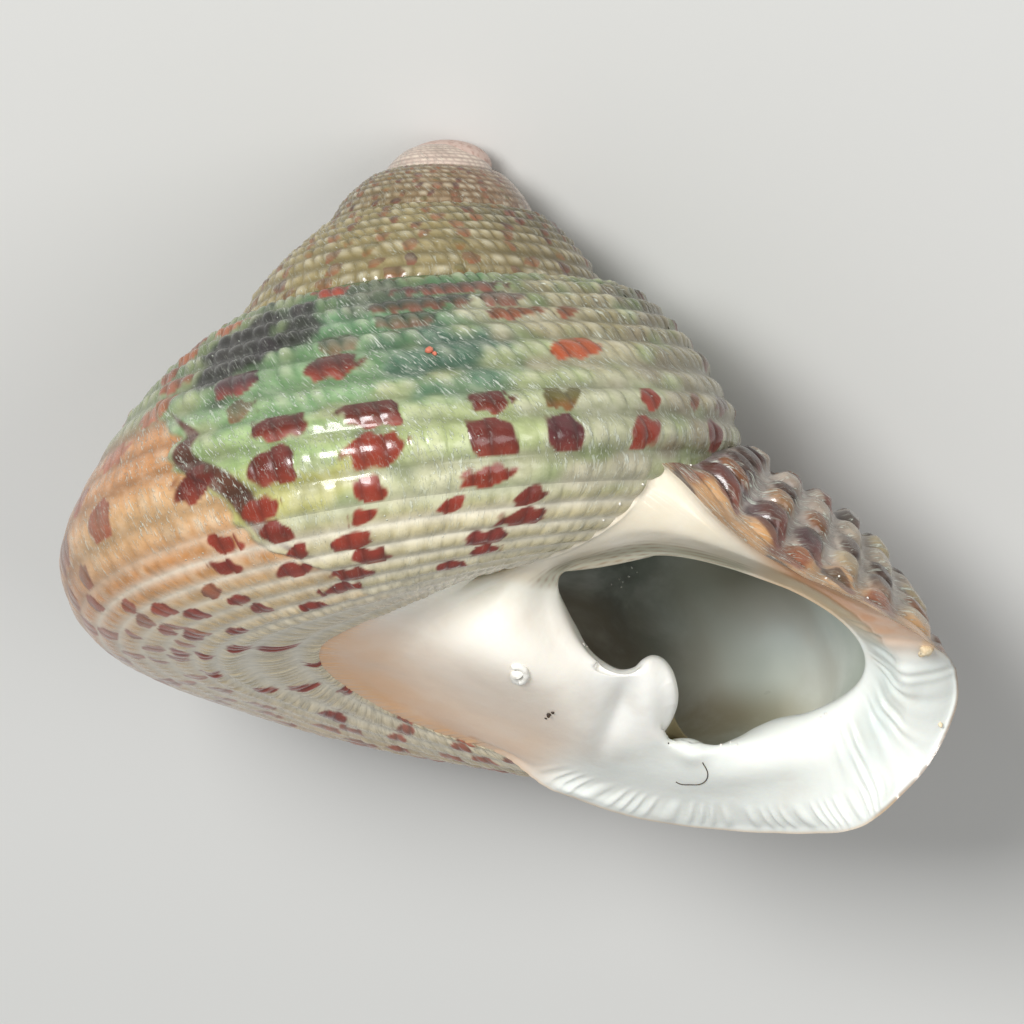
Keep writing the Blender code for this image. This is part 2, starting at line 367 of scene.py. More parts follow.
GROUND = tuple(Cloud(*row) for row in (
    (2.8, 300, 3.2, 34, (78, 122, 78), 0.95), (4.6, 286, 1.6, 26, (122, 160, 108), 0.8),
    (3.9, 318, 1.2, 13, (48, 88, 76), 0.75), (2.2, 300, 0.7, 12, (104, 156, 108), 0.7),
    (5.4, 322, 0.9, 10, (84, 122, 96), 0.6), (1.2, 300, 0.8, 10, (74, 70, 62), 0.7),
    (6.7, 305, 0.5, 6, (122, 98, 108), 0.8), (6.9, 290, 1.0, 22, (150, 178, 112), 0.8),
    (7.1, 322, 1.1, 26, (180, 192, 132), 0.8), (8.2, 288, 0.8, 20, (196, 192, 112), 0.9),
    (8.3, 322, 0.6, 22, (206, 204, 166), 0.8), (3.0, 352, 2.6, 18, (146, 134, 98), 0.92),
    (2.4, 332, 0.8, 12, (186, 178, 146), 0.7), (4.2, 350, 0.9, 14, (190, 182, 148), 0.75),
    (6.6, 352, 1.8, 18, (174, 174, 142), 0.85), (5.0, 384, 4.0, 24, (144, 132, 106), 0.9),
    (1.6, 384, 1.0, 20, (104, 92, 80), 0.6), (2.5, 272, 1.7, 11, (24, 12, 20), 0.97),
    (2.2, 284, 1.0, 7, (30, 18, 26), 0.92), (8.6, 350, 0.6, 16, (196, 186, 160), 0.7)))


# ---- the spiral ----
@dataclass(frozen=True)
class Spiral:
    """How the shell grew, in millimetres, with its apex at the origin and up.

    t is the turn of a place on the spiral, 0 at the lip and negative before it. s counts stations
    down the section from the suture to the rim of the umbilicus. tau is the turn of the growth
    edge that made the place, and t lags behind it.

    Args:
        swell: growth of the width, as exponents of t and of its square.
        sink: growth of the depth, as an exponent of t.
        apex_offset: how far the depths' zero lies above the apex, mm.
        lip_azimuth: azimuth of the lip, degrees.
        start_turn: turn at which the shell starts.
        lean: slope by which the early whorls lean.
        radius, depth: the section at the lip, mm, by station.
        sag: how much deeper it is away from the lip, mm.
        visor, slump: how much deeper it is at the lip's very edge, and near it, mm.
        tuck: how far it is drawn in near the lip, mm.
        visor_reach, tuck_reach: turns over which these come in.
        rim_narrow: share by which the rim of the umbilicus is narrower away from the lip.
        seam_at, seam_drop: station of the seam, and how far it drops by the lip.
        lag_side: turns by which t lags behind tau at the foot of the side.
        lag_rim, lag_parietal: further degrees at the rim, by the lip and by the wall behind it.
    """

    swell: tuple = (0.555, -0.010)
    sink: float = 0.621
    apex_offset: float = 0.63
    lip_azimuth: float = -47.6
    start_turn: float = -4.3
    lean: float = 0.10
    radius: tuple = (10.10, 11.25, 12.85, 14.21, 15.47, 16.32, 17.01, 17.42, 17.15, 16.25, 14.90,
                     13.20, 11.28, 9.32, 7.72)
    depth: tuple = (9.90, 11.09, 12.66, 14.24, 15.91, 17.39, 18.90, 20.32, 21.95, 23.10, 23.70,
                    24.00, 24.15, 24.15, 23.80)
    sag: tuple = (0, 0, 0, 0, 0, 0, 0, 0, 0.2, 0.8, 1.7, 2.4, 2.8, 3.0, 3.0)
    visor: tuple = (3.1, 2.2, 2.6, 2.5, 2.0, 1.2, 0.3, 0, 0.2, 0.5, 0.8, 0.8, 0.8, 0.8, 0.8)
    tuck: tuple = (0, 0, 0, -0.2, -0.45, -0.4, -0.1, 0.2, 0.65, 1.0, 0.6, 0, 0, 0, 0)
    slump: tuple = (0, 1.2, 0.6, 0.1, 0, 0, 0, 0, 0, 0, 0, 0, 0, 0, 0)
    visor_reach: float = 0.075
    tuck_reach: float = 0.30
    rim_narrow: float = 0.27
    seam_at: float = 6.4
    seam_drop: float = 2.45
    lag_side: float = 4 / 29
    lag_rim: float = 55.0
    lag_parietal: float = -20.0

    @property
    def rim(self) -> float:
        """Station of the umbilical rim."""
        return len(self.radius) - 1.0

    @property
    def base_from(self) -> float:
        """The turn at which the base comes out from under the last whorl."""
        return self.lag_side - 1.0

    def wide(self, t: Array) -> Array:
        """Return the width of the section at t, as a share of that at the lip."""
        return np.exp(self.swell[0] * t + self.swell[1] * t * t)

    def deep(self, t: Array) -> Array:
        """Return the depth of the section at t, as a share of that at the lip."""
        return np.exp(self.sink * t)

    def seat(self, t: Array) -> Array:
        """Return the station at which the next whorl sits on the one laid down at t."""
        return self.seam_at + self.seam_drop * smooth((t + 0.42) / 0.42) ** 1.3

    def section(self, s: Array, t: Array, tau: Array) -> Array:
        """Return radius and depth at station s of the section at t, made by the edge of tau.

        Args:
            s: station.
            t: turn.
            tau: turn of the growth edge.

        Returns:
            Radius and depth, mm.
        """
        k = np.clip(np.floor(s).astype(int), 0, len(self.radius) - 2)
        f = (s - k)[..., None]
        sag = smooth((-t - 0.45) / 0.4)
        bend = smooth((tau + self.visor_reach) / self.visor_reach)
        tuck = smooth((tau + self.tuck_reach) / self.tuck_reach)
        narrow = 1.0 - self.rim_narrow * smooth((-t - 0.28) / 0.35)
        last = len(self.radius) - 1
        table = {name: np.array(getattr(self, name), float)
                 for name in ("radius", "depth", "sag", "visor", "tuck", "slump")}

        def station(i: Array) -> Array:
            """Return the section's own point number i."""
            i = np.clip(i, 0, last)
            r = table["radius"][i] * self.wide(t) * np.where(i >= last, narrow, 1.0)
            z = (table["depth"][i] + table["sag"][i] * sag) * self.deep(t) - self.apex_offset
            return np.stack([r - table["tuck"][i] * tuck,
                             z + table["visor"][i] * bend + table["slump"][i] * tuck], -1)

        return between(station(k - 1), station(k), station(k + 1), station(k + 2), f)

    def place(self, rz: Array, t: Array) -> Array:
        """Return x, y, z of a section point at t.

        Args:
            rz: radius and depth, mm.
            t: turn.

        Returns:
            Points in the shell's axes, mm.
        """
        azimuth = np.radians(self.lip_azimuth - 360.0 * t)
        x = rz[..., 0] * np.cos(azimuth)
        y = rz[..., 0] * np.sin(azimuth)
        return np.stack([x, y, -rz[..., 1] - self.lean * smooth((-t - 1.6) / 0.5) * x], -1)

    def surface(self, s: Array, t: Array, tau: Array) -> Array:
        """Return the bare outer surface, its top pulled onto the whorl before.

        Args:
            s: station.
            t: turn.
            tau: turn of the growth edge.

        Returns:
            Points in the shell's axes, mm.
        """
        pull = np.clip(1.0 - s / 1.6, 0, 1) ** 2
        below = self.place(self.section(self.seat(t), t - 1.0, t - 1.3), t - 1.0)
        top = self.place(self.section(np.zeros_like(s), t, tau), t)
        return self.place(self.section(s, t, tau), t) + (below - top) * pull[..., None]

    def side(self, v: Array, tau: Array) -> tuple:
        """Return (s, t) at share v of the way from seam to seam, on the growth edge of tau.

        Args:
            v: share of the way down.
            tau: turn of the growth edge.

        Returns:
            Station and turn.
        """
        t = tau - self.lag_side * np.sin(0.5 * math.pi * np.clip(v, 0, 1))
        return self.seat(tau - self.lag_side + 1.0) * v, t

    def base(self, v: Array, tau: Array) -> tuple:
        """Return (s, t) at share v of the way from the seam over the base to the rim.

        Args:
            v: share of the way to the rim.
            tau: turn of the growth edge.

        Returns:
            Station and turn.
        """
        w = (tau - self.base_from) / -self.base_from
        lag = self.lag_parietal + (self.lag_rim - self.lag_parietal) * w
        start = self.seat(tau - self.lag_side + 1.0)
        t = tau - self.lag_side - lag / 360.0 * np.clip(v, 0, 1.01) ** 1.4
        return start + (self.rim - start) * v, t


@dataclass(frozen=True)
class Cords:
    """The beaded cords of the outer surface.

    Args:
        at: station of each cord.
        wide: half width of each cord, in stations.
        rise: height of a bead on the last whorl, mm.
        per_turn: beads in the last turn.
        ease: how fast their number falls towards the apex.
    """

    at: tuple = (0.62, 1.28, 1.88, 2.50, 3.15, 3.95, 5.08, 6.02, 7.38, 8.47, 9.17, 9.83, 10.47,
                 11.07, 11.68, 12.28, 12.88, 13.42, 13.90)
    wide: tuple = (0.36, 0.33, 0.31, 0.33, 0.34, 0.52, 0.50, 0.56, 0.66, 0.42, 0.34, 0.33, 0.32,
                   0.31, 0.31, 0.31, 0.29, 0.27, 0.22)
    rise: float = 0.36
    per_turn: float = 125.0
    ease: float = 0.30

    def count(self, t: Array) -> Array:
        """Return how many beads lie between the lip and t, as a negative number."""
        return self.per_turn / self.ease * (np.exp(self.ease * t) - 1.0)

    def read(self, s: Array, t: Array, tau: Array) -> dict:
        """Return where a place lies among the cords and beads.

        Args:
            s: station.
            t: turn.
            tau: turn of the growth edge.

        Returns:
            A dict of cord (its number), off (-1 to 1 across the cord), ridge (1 on its crest, 0 in
            the groove), number (of the bead) and dome (1 on the bead, 0 between two beads).
        """
        at = np.array(self.at)
        wide = np.array(self.wide)
        cord = np.abs(s[..., None] - at).argmin(-1)
        off = (s - at[cord]) / wide[cord]
        ridge = np.cos(0.5 * math.pi * np.clip(np.abs(off), 0, 1)) ** 1.3
        late = t * 0.45 + tau * 0.55
        slow = np.maximum(late + 0.13, 0.0)
        phase = self.count(late - 0.3 * slow * slow / (slow + 0.04)) + chance(cord, cord)
        # neighbouring beads differ a little in length
        phase = phase + 0.16 * np.sin(phase * 0.9 + cord * 2.1) + 0.07 * np.sin(phase * 2.3 + cord)
        number = np.round(phase)
        dome = np.clip(1.0 - (2.0 * (phase - number)) ** 2, 0, 1) ** 0.7
        return {"cord": cord, "ridge": ridge, "number": number, "dome": dome, "off": off}

    @staticmethod
    def by_lip(t: Array) -> Array:
        """Return 1 on the growth next to the lip, 0 before it."""
        return smooth((t + 0.28) / 0.12)

    def beady(self, cord: Array, t: Array) -> Array:
        """Return how deeply a cord is cut into beads.

        Upper cords are cut deeply, those of the side and base hardly. On the spire they are all
        alike, and near the lip those of the top and side are cut through.

        Args:
            cord: number of the cord.
            t: turn.

        Returns:
            Shares from 0, smooth, to 1, cut through.
        """
        share = np.where(cord < 5, 0.70, np.where(cord == 5, 0.42, np.where(cord < 9, 0.20, 0.34)))
        share = share + (0.74 - share) * smooth((-t - 1.15) / 0.3)
        return share + (0.95 - share) * self.by_lip(t) * (cord < 8)

    def height(self, spiral: Spiral, s: Array, t: Array, tau: Array) -> tuple:
        """Return the relief over the bare surface, mm, with the reading it comes from.

        Args:
            spiral: how the shell grew.
            s: station.
            t: turn.
            tau: turn of the growth edge.

        Returns:
            The relief, and the reading.
        """
        at = self.read(s, t, tau)
        size = 0.66 + 0.34 * chance(at["number"], at["cord"])
        weak = np.where(at["cord"] == 6, 0.65, 1.0)
        share = self.beady(at["cord"], t)
        bead = at["ridge"] * (1.0 - share + share * at["dome"]) * size * weak
        near = self.by_lip(t) * smooth((7.8 - s) / 0.6)
        bead = bead + (smooth((at["ridge"] * at["dome"] - 0.04) / 0.80) * size - bead) * near
        worn = smooth((t + 3.1) / 0.5)
        side = 1.0 + 0.35 * span(t, -1.25, -0.98, 0.08) * (s < 8.0)
        patchy = 0.8 + 0.2 * np.sin(s * 2.3 + t * 31.0) * np.sin(t * 57.0 - s * 1.1)
        base = np.where(s > 8.0, 0.62, 1.0) * (1.0 + 0.5 * self.by_lip(t) * (s < 7.0))
        return (bead - 0.50) * self.rise * spiral.wide(t) ** 0.8 * worn * base * patchy * side, at


# ---- mesh makers ----
@dataclass(frozen=True)
class Rest:
    """How the shell lies: its own axes turned into those of the frame.

    Args:
        down: direction in the shell's axes that ends up pointing at the floor.
        facing: direction that ends up facing the front.
        apex: where the apex lies in the frame, mm.
        least: lowest height of any point, mm.
    """

    down: tuple = (0.2049, 0.6868, 0.6974)
    facing: tuple = (0.0, -0.986, -0.165)
    apex: tuple = (6.94, -9.44, 0.578)
    least: float = 0.01

    @property
    def turn(self) -> Array:
        """The rotation, one row for each axis of the frame."""
        up = -np.array(self.down) / np.linalg.norm(self.down)
        back = -np.array(self.facing)
        back = back - up * (back @ up)
        back /= np.linalg.norm(back)
        return np.stack([np.cross(back, up), back, up])

    def lay(self, points: Array, worn: bool = True) -> Array:
        """Return shell points, mm, as frame points, metres, worn flat where the shell lies.

        Args:
            points: points in the shell's axes.
            worn: whether to keep them above the floor and inside the solid's box.

        Returns:
            Points of the same shape.
        """
        laid = points @ self.turn.T + np.array(self.apex)
        if worn:
            low, high = (np.array(corner) / MM for corner in CAD_BOX)
            laid = np.clip(laid, low + self.least, high - self.least)
        return laid * MM

    def aim(self, direction: tuple) -> Vector:
        """Return a direction of the shell's axes as one of the frame's."""
        return Vector(self.turn @ (np.array(direction) / np.linalg.norm(direction)))


REST = Rest()


def placed(name: str, data: bpy.types.ID) -> bpy.types.Object:
    """Return a new object in the scene that shows a mesh, a lamp or a camera.

    Args:
        name: the object's name.
        data: what it shows.

    Returns:
        The object.
    """
    made = bpy.data.objects.new(name, data)
    bpy.context.scene.collection.objects.link(made)
    return made


def poured(bm: bmesh.types.BMesh, name: str) -> bpy.types.Mesh:
    """Return a bmesh as a mesh of that name, and free it.

    Args:
        bm: the bmesh.
        name: the mesh's name.

    Returns:
        The mesh.
    """
    mesh = bpy.data.meshes.new(name)
    bm.to_mesh(mesh)
    bm.free()
    return mesh


def as_piece(bm: bmesh.types.BMesh, name: str) -> bpy.types.Object:
    """Return a bmesh in frame metres as a smooth-shaded piece, and free it.

    Args:
        bm: the bmesh.
        name: the piece's name.

    Returns:
        The piece.
    """
    for face in bm.faces:
        face.smooth = True
    return placed(name, poured(bm, name))


def lay_down(bm: bmesh.types.BMesh, name: str) -> bpy.types.Object:
    """Return a bmesh in the shell's own millimetres as a piece, laid down with the shell.

    Args:
        bm: the bmesh.
        name: the piece's name.

    Returns:
        The piece.
    """
    for v in bm.verts:
        v.co = REST.lay(np.array(v.co))
    return as_piece(bm, name)


def sheet(name: str, points: Array, fields: dict, around: bool = False) -> bpy.types.Object:
    """Make a piece from a grid that is shaped by its points.

    Args:
        name: the piece's name.
        points: rows by columns of shell points, mm.
        fields: values for each point: one number, three, or four for a colour.
        around: whether the last row meets the first.

    Returns:
        The mesh object, in the frame.
    """
    rows, columns = points.shape[:2]
    bm = bmesh.new()
    bmesh.ops.create_grid(bm, x_segments=columns - 1, y_segments=rows - 1, size=1.0)
    mesh = poured(bm, name)
    at = np.empty(rows * columns * 3)
    mesh.vertices.foreach_get("co", at)
    at = at.reshape(-1, 3)
    i = np.rint((at[:, 1] + 1) * 0.5 * (rows - 1)).astype(int)
    j = np.rint((at[:, 0] + 1) * 0.5 * (columns - 1)).astype(int)
    mesh.vertices.foreach_set("co", REST.lay(points[i, j]).ravel())
    kinds = {1: ("FLOAT", "value"), 3: ("FLOAT_VECTOR", "vector"), 4: ("FLOAT_COLOR", "color")}
    for key, values in fields.items():
        values = np.asarray(values, float)[i, j]
        kind, slot = kinds[values.size // len(values)]
        mesh.attributes.new(key, kind, "POINT").data.foreach_set(slot, values.ravel())
    if around:
        bm = bmesh.new()
        bm.from_mesh(mesh)
        bmesh.ops.remove_doubles(bm, verts=bm.verts, dist=SAME_PLACE)
        bm.to_mesh(mesh)
        bm.free()
    mesh.shade_smooth()
    return placed(name, mesh)


def rgba(colour: Array) -> Array:
    """Return colours with a fourth channel of 1."""
    return np.concatenate([colour, np.ones(colour.shape[:-1] + (1,))], -1)


# ---- shading ----
def operator(operation: str, swapped: bool = False) -> Callable:
    """Return a method of Wire that adds a Math node.

    Args:
        operation: the Math node's operation.
        swapped: whether the wire is the second value.

    Returns:
        The method.
    """
    def method(self: "Wire", other: object) -> "Wire":
        """Return the operation on the wire and another wire or number."""
        values = (other, self) if swapped else (self, other)
        return self.graph.node("ShaderNodeMath", {"operation": operation}, dict(enumerate(values)))

    return method


class Wire:
    """A node's output that can stand in sums, differences and products."""

    def __init__(self, graph: "Graph", socket: bpy.types.NodeSocket) -> None:
        """Keep the socket and the graph it belongs to.

        Args:
            graph: the material's nodes.
            socket: the output.
        """
        self.graph = graph
        self.socket = socket

    __add__ = __radd__ = operator("ADD")
    __sub__ = operator("SUBTRACT")
    __rsub__ = operator("SUBTRACT", swapped=True)
    __mul__ = __rmul__ = operator("MULTIPLY")

    def step(self, low: float, high: float) -> "Wire":
        """Return 0 below low, 1 above high, and a smooth rise between."""
        return self.graph.node("ShaderNodeMapRange", {"interpolation_type": "SMOOTHSTEP"},
                               {"Value": self, "From Min": low, "From Max": high})


class Graph:
    """A material's nodes."""

    def __init__(self, name: str) -> None:
        """Start a material with a Principled shader and its output."""
        self.material = bpy.data.materials.new(name)
        self.material.use_nodes = True
        self.tree = self.material.node_tree
        self.shader = self.tree.nodes["Principled BSDF"]

    def _feed(self, socket: bpy.types.NodeSocket, value: object) -> None:
        """Link a wire to a socket, or set the socket's own value.

        Args:
            socket: the socket.
            value: a wire, number, colour or vector.
        """
        if isinstance(value, Wire):
            self.tree.links.new(value.socket, socket)
        elif socket.type == "RGBA":
            socket.default_value = (*[float(c) for c in value][:3], 1.0)
        elif socket.type == "VECTOR":
            socket.default_value = tuple(float(c) for c in value)
        else:
            socket.default_value = float(value)

    def node(self, kind: str, settings: dict, inputs: dict, out: object = 0) -> Wire:
        """Add a node.

        Args:
            kind: the node's type.
            settings: properties, set before the sockets.
            inputs: values or wires by socket name or number.
            out: name or number of the output to return.

        Returns:
            The output as a wire.
        """
        made = self.tree.nodes.new(kind)
        for key, value in settings.items():
            setattr(made, key, value)
        for key, value in inputs.items():
            self._feed(made.inputs[key], value)
        return Wire(self, made.outputs[out])

    def read(self, name: str, out: str = "Fac") -> Wire:
        """Return an attribute as a number, or by its Color or Vector output."""
        return self.node("ShaderNodeAttribute", {"attribute_name": name}, {}, out)

    def place(self) -> Wire:
        """Return Object coordinates, metres."""
        return self.node("ShaderNodeTexCoord", {}, {}, "Object")

    def scaled(self, vector: Wire, by: tuple) -> Wire:
        """Return a vector multiplied axis by axis."""
        return self.node("ShaderNodeVectorMath", {"operation": "MULTIPLY"}, {0: vector, 1: by})

    def noise(self, vector: Wire, scale: float, detail: float = 3.0, rough: float = 0.5,
              warp: float = 0.0, seed: float = 0.0) -> Wire:
        """Return soft noise around 0.5.

        Args:
            vector: where it is read.
            scale: how many of its largest forms a unit holds.
            detail: how many finer layers it has.
            rough: how strong the finer layers are.
            warp: how far it is bent by itself.
            seed: which noise it is.

        Returns:
            The noise as a number.
        """
        return self.node("ShaderNodeTexNoise", {"noise_dimensions": "4D"},
                         {"Vector": vector, "W": seed, "Scale": scale, "Detail": detail,
                          "Roughness": rough, "Distortion": warp})

    def cells(self, vector: Wire, scale: float) -> Wire:
        """Return the distance to the nearest of scattered points."""
        return self.node("ShaderNodeTexVoronoi", {"feature": "F1"},
                         {"Vector": vector, "Scale": scale}, "Distance")

    def mix(self, factor: object, under: object, over: tuple) -> Wire:
        """Return a colour with a screen colour laid over it by a factor."""
        # sockets 6 and 7 are the two colours and output 2 their mixture
        return self.node("ShaderNodeMix", {"data_type": "RGBA"},
                         {0: factor, 6: under, 7: paint(*over)}, 2)

    def bump(self, height: Wire, millimetres: float) -> Wire:
        """Return a normal bent by a height of so many millimetres at 1."""
        return self.node("ShaderNodeBump", {}, {"Height": height, "Distance": millimetres * MM})

    def finish(self, sockets: dict) -> bpy.types.Material:
        """Feed the Principled shader's sockets and return the material.

        Args:
            sockets: values or wires by socket name.

        Returns:
            The material.
        """
        for key, value in sockets.items():
            self._feed(self.shader.inputs[key], value)
        return self.material


@dataclass(frozen=True)
class BeadedShell:
    """The glossy outer layer: tinted cords with pale growth threads across them, and painted white glints.

    It is read in the growth attribute: mm along the whorl and mm across it.
    """

    thread: tuple = (214, 220, 206)
    bloom: tuple = (236, 232, 214)
    # painted shade in the low places of the bump
    groove: tuple = (60, 62, 48)
    fine_stretch: tuple = (8.0, 2.2, 1.0)
    hair_stretch: tuple = (15.0, 3.2, 1.0)
    patch_scale: float = 0.55
    cloud_scale: float = 1.6
    glint_scale: float = 3.4
    glint_patch_scale: float = 1.1
    roughness: float = 0.32
    most_white: float = 0.85
    relief: float = 0.055

    def build(self) -> bpy.types.Material:
        """Make the material."""
        g = Graph("beaded_shell")
        grow, bead, lively = g.read("growth", "Vector"), g.read("bead"), g.read("threads")
        patch = g.noise(grow, self.patch_scale, 4, 0.6, seed=2)
        fine = g.noise(g.scaled(grow, self.fine_stretch), 1.0, 3.0, 0.6, warp=1.2, seed=5)
        hair = g.noise(g.scaled(grow, self.hair_stretch), 1.0, 2.0, 0.55, warp=1.0, seed=9)
        threads = (fine.step(0.56, 0.65) * 0.6 + hair.step(0.58, 0.65) * 0.8) * lively
        threads = threads * patch.step(0.34, 0.56)
        tint = g.read("tint", "Color")
        cloud = g.noise(grow, self.cloud_scale, 4, 0.6, seed=1)
        tint = g.mix(cloud.step(0.45, 0.75) * 0.16 * lively, tint, self.bloom)
        # painted shade: darker olive where the bump's cloud is low
        tint = g.mix(cloud.step(0.62, 0.30) * 0.28, tint, self.groove)
        # painted glints: small white specks standing in for sparkles of light on the beads
        glint_flecks = g.cells(grow, self.glint_scale).step(0.13, 0.05)
        glint_flecks = glint_flecks * g.noise(grow, self.glint_patch_scale, 2, seed=3).step(0.47, 0.62)
        white = g.node("ShaderNodeMath", {"operation": "MINIMUM"},
                       {0: threads * 0.75 + glint_flecks * 0.7, 1: self.most_white})
        height = threads * 0.5 + glint_flecks * 0.4 + cloud * 0.35 + bead * 0.15
        return g.finish({
            "Base Color": g.mix(white, tint, self.thread),
            "Roughness": self.roughness + cloud * 0.22 - bead * 0.22,
            "Coat Weight": 0.42, "Coat Roughness": 0.07,
            "Specular IOR Level": 0.4,
            "Normal": g.bump(height, self.relief),
        })


@dataclass(frozen=True)
class Porcelain:
    """The smooth white layer of the lip, callus and pillar."""

    milk: tuple = (250, 246, 236)
    cream: tuple = (196, 170, 140)
    cloud_scale: float = 520.0
    ripple_scale: float = 1500.0
    roughness: float = 0.26
    relief: float = 0.06

    def build(self) -> bpy.types.Material:
        """Make the material."""
        g = Graph("porcelain")
        where = g.place()
        cloud = g.noise(where, self.cloud_scale, 4, 0.55, seed=4)
        tint = g.mix(cloud.step(0.45, 0.75) * 0.22, g.read("tint", "Color"), self.milk)
        tint = g.mix(cloud.step(0.52, 0.28) * 0.18, tint, self.cream)
        ripple = g.noise(where, self.ripple_scale, 3, 0.5, seed=8)
        return g.finish({
            "Base Color": tint,
            "Roughness": self.roughness + cloud * 0.2,
            "Coat Weight": 0.4, "Coat Roughness": 0.1,
            "Subsurface Weight": 0.12, "Subsurface Scale": 1.5 * MM,
            "Subsurface Radius": (1.0, 0.75, 0.5),
            "Normal": g.bump(cloud * 0.8 + ripple * 0.3, self.relief),
        })


@dataclass(frozen=True)
class Nacre:
    """The cloudy pearl layer inside the throat."""

    milk: tuple = (240, 244, 236)
    green: tuple = (150, 176, 168)
    rose: tuple = (176, 150, 120)
    cloud_scale: float = 330.0
    sheen_scale: float = 140.0
    roughness: float = 0.22
    relief: float = 0.05

    def build(self) -> bpy.types.Material:
        """Make the material."""
        g = Graph("nacre")
        where = g.place()
        cloud = g.noise(where, self.cloud_scale, 5, 0.6, warp=0.6, seed=6)
        sheen = g.noise(where, self.sheen_scale, 3, 0.5, seed=7)
        # the pale clouds and sheen are held back where the throat is painted dark as shade
        pearly = g.read("pearly")
        tint = g.mix(cloud.step(0.42, 0.72) * pearly * 0.55, g.read("tint", "Color"), self.milk)
        tint = g.mix(sheen.step(0.45, 0.68) * pearly * 0.40, tint, self.green)
        tint = g.mix(sheen.step(0.50, 0.30) * pearly * 0.35, tint, self.rose)
        return g.finish({
            "Base Color": tint,
            "Roughness": self.roughness + cloud * 0.18,
            "Coat Weight": 0.5, "Coat Roughness": 0.08,
            "Normal": g.bump(cloud, self.relief),
        })


@dataclass(frozen=True)
class Plain:
    """A speckled finish for small things.

    Args:
        name: the material's name.
        tint: screen colour.
        roughness: how matt it is.
        speckle: screen colour of its speckles.
        speckle_scale: how many speckles a metre holds.
        relief: how far they stand out, mm.
    """

    name: str
    tint: tuple
    roughness: float
    speckle: tuple
    speckle_scale: float = 4200.0
    relief: float = 0.03

    def build(self) -> bpy.types.Material:
        """Make the material."""
        g = Graph(self.name)
        spots = g.noise(g.place(), self.speckle_scale, 3, 0.6, seed=3)
        return g.finish({
            "Base Color": g.mix(spots.step(0.48, 0.62) * 0.6, paint(*self.tint), self.speckle),
            "Roughness": self.roughness + spots * 0.15,
            "Normal": g.bump(spots, self.relief),
        })


CHALK = Plain("chalk", (240, 238, 230), 0.45, (214, 208, 196))
SAND = Plain("sand", (226, 210, 178), 0.35, (196, 172, 132))
DARK = Plain("dark_fleck", (52, 38, 28), 0.5, (92, 74, 52))
CORAL = Plain("coral", (196, 110, 86), 0.6, (226, 164, 138))
WORN = Plain("worn_tip", (196, 172, 160), 0.4, (160, 124, 110))


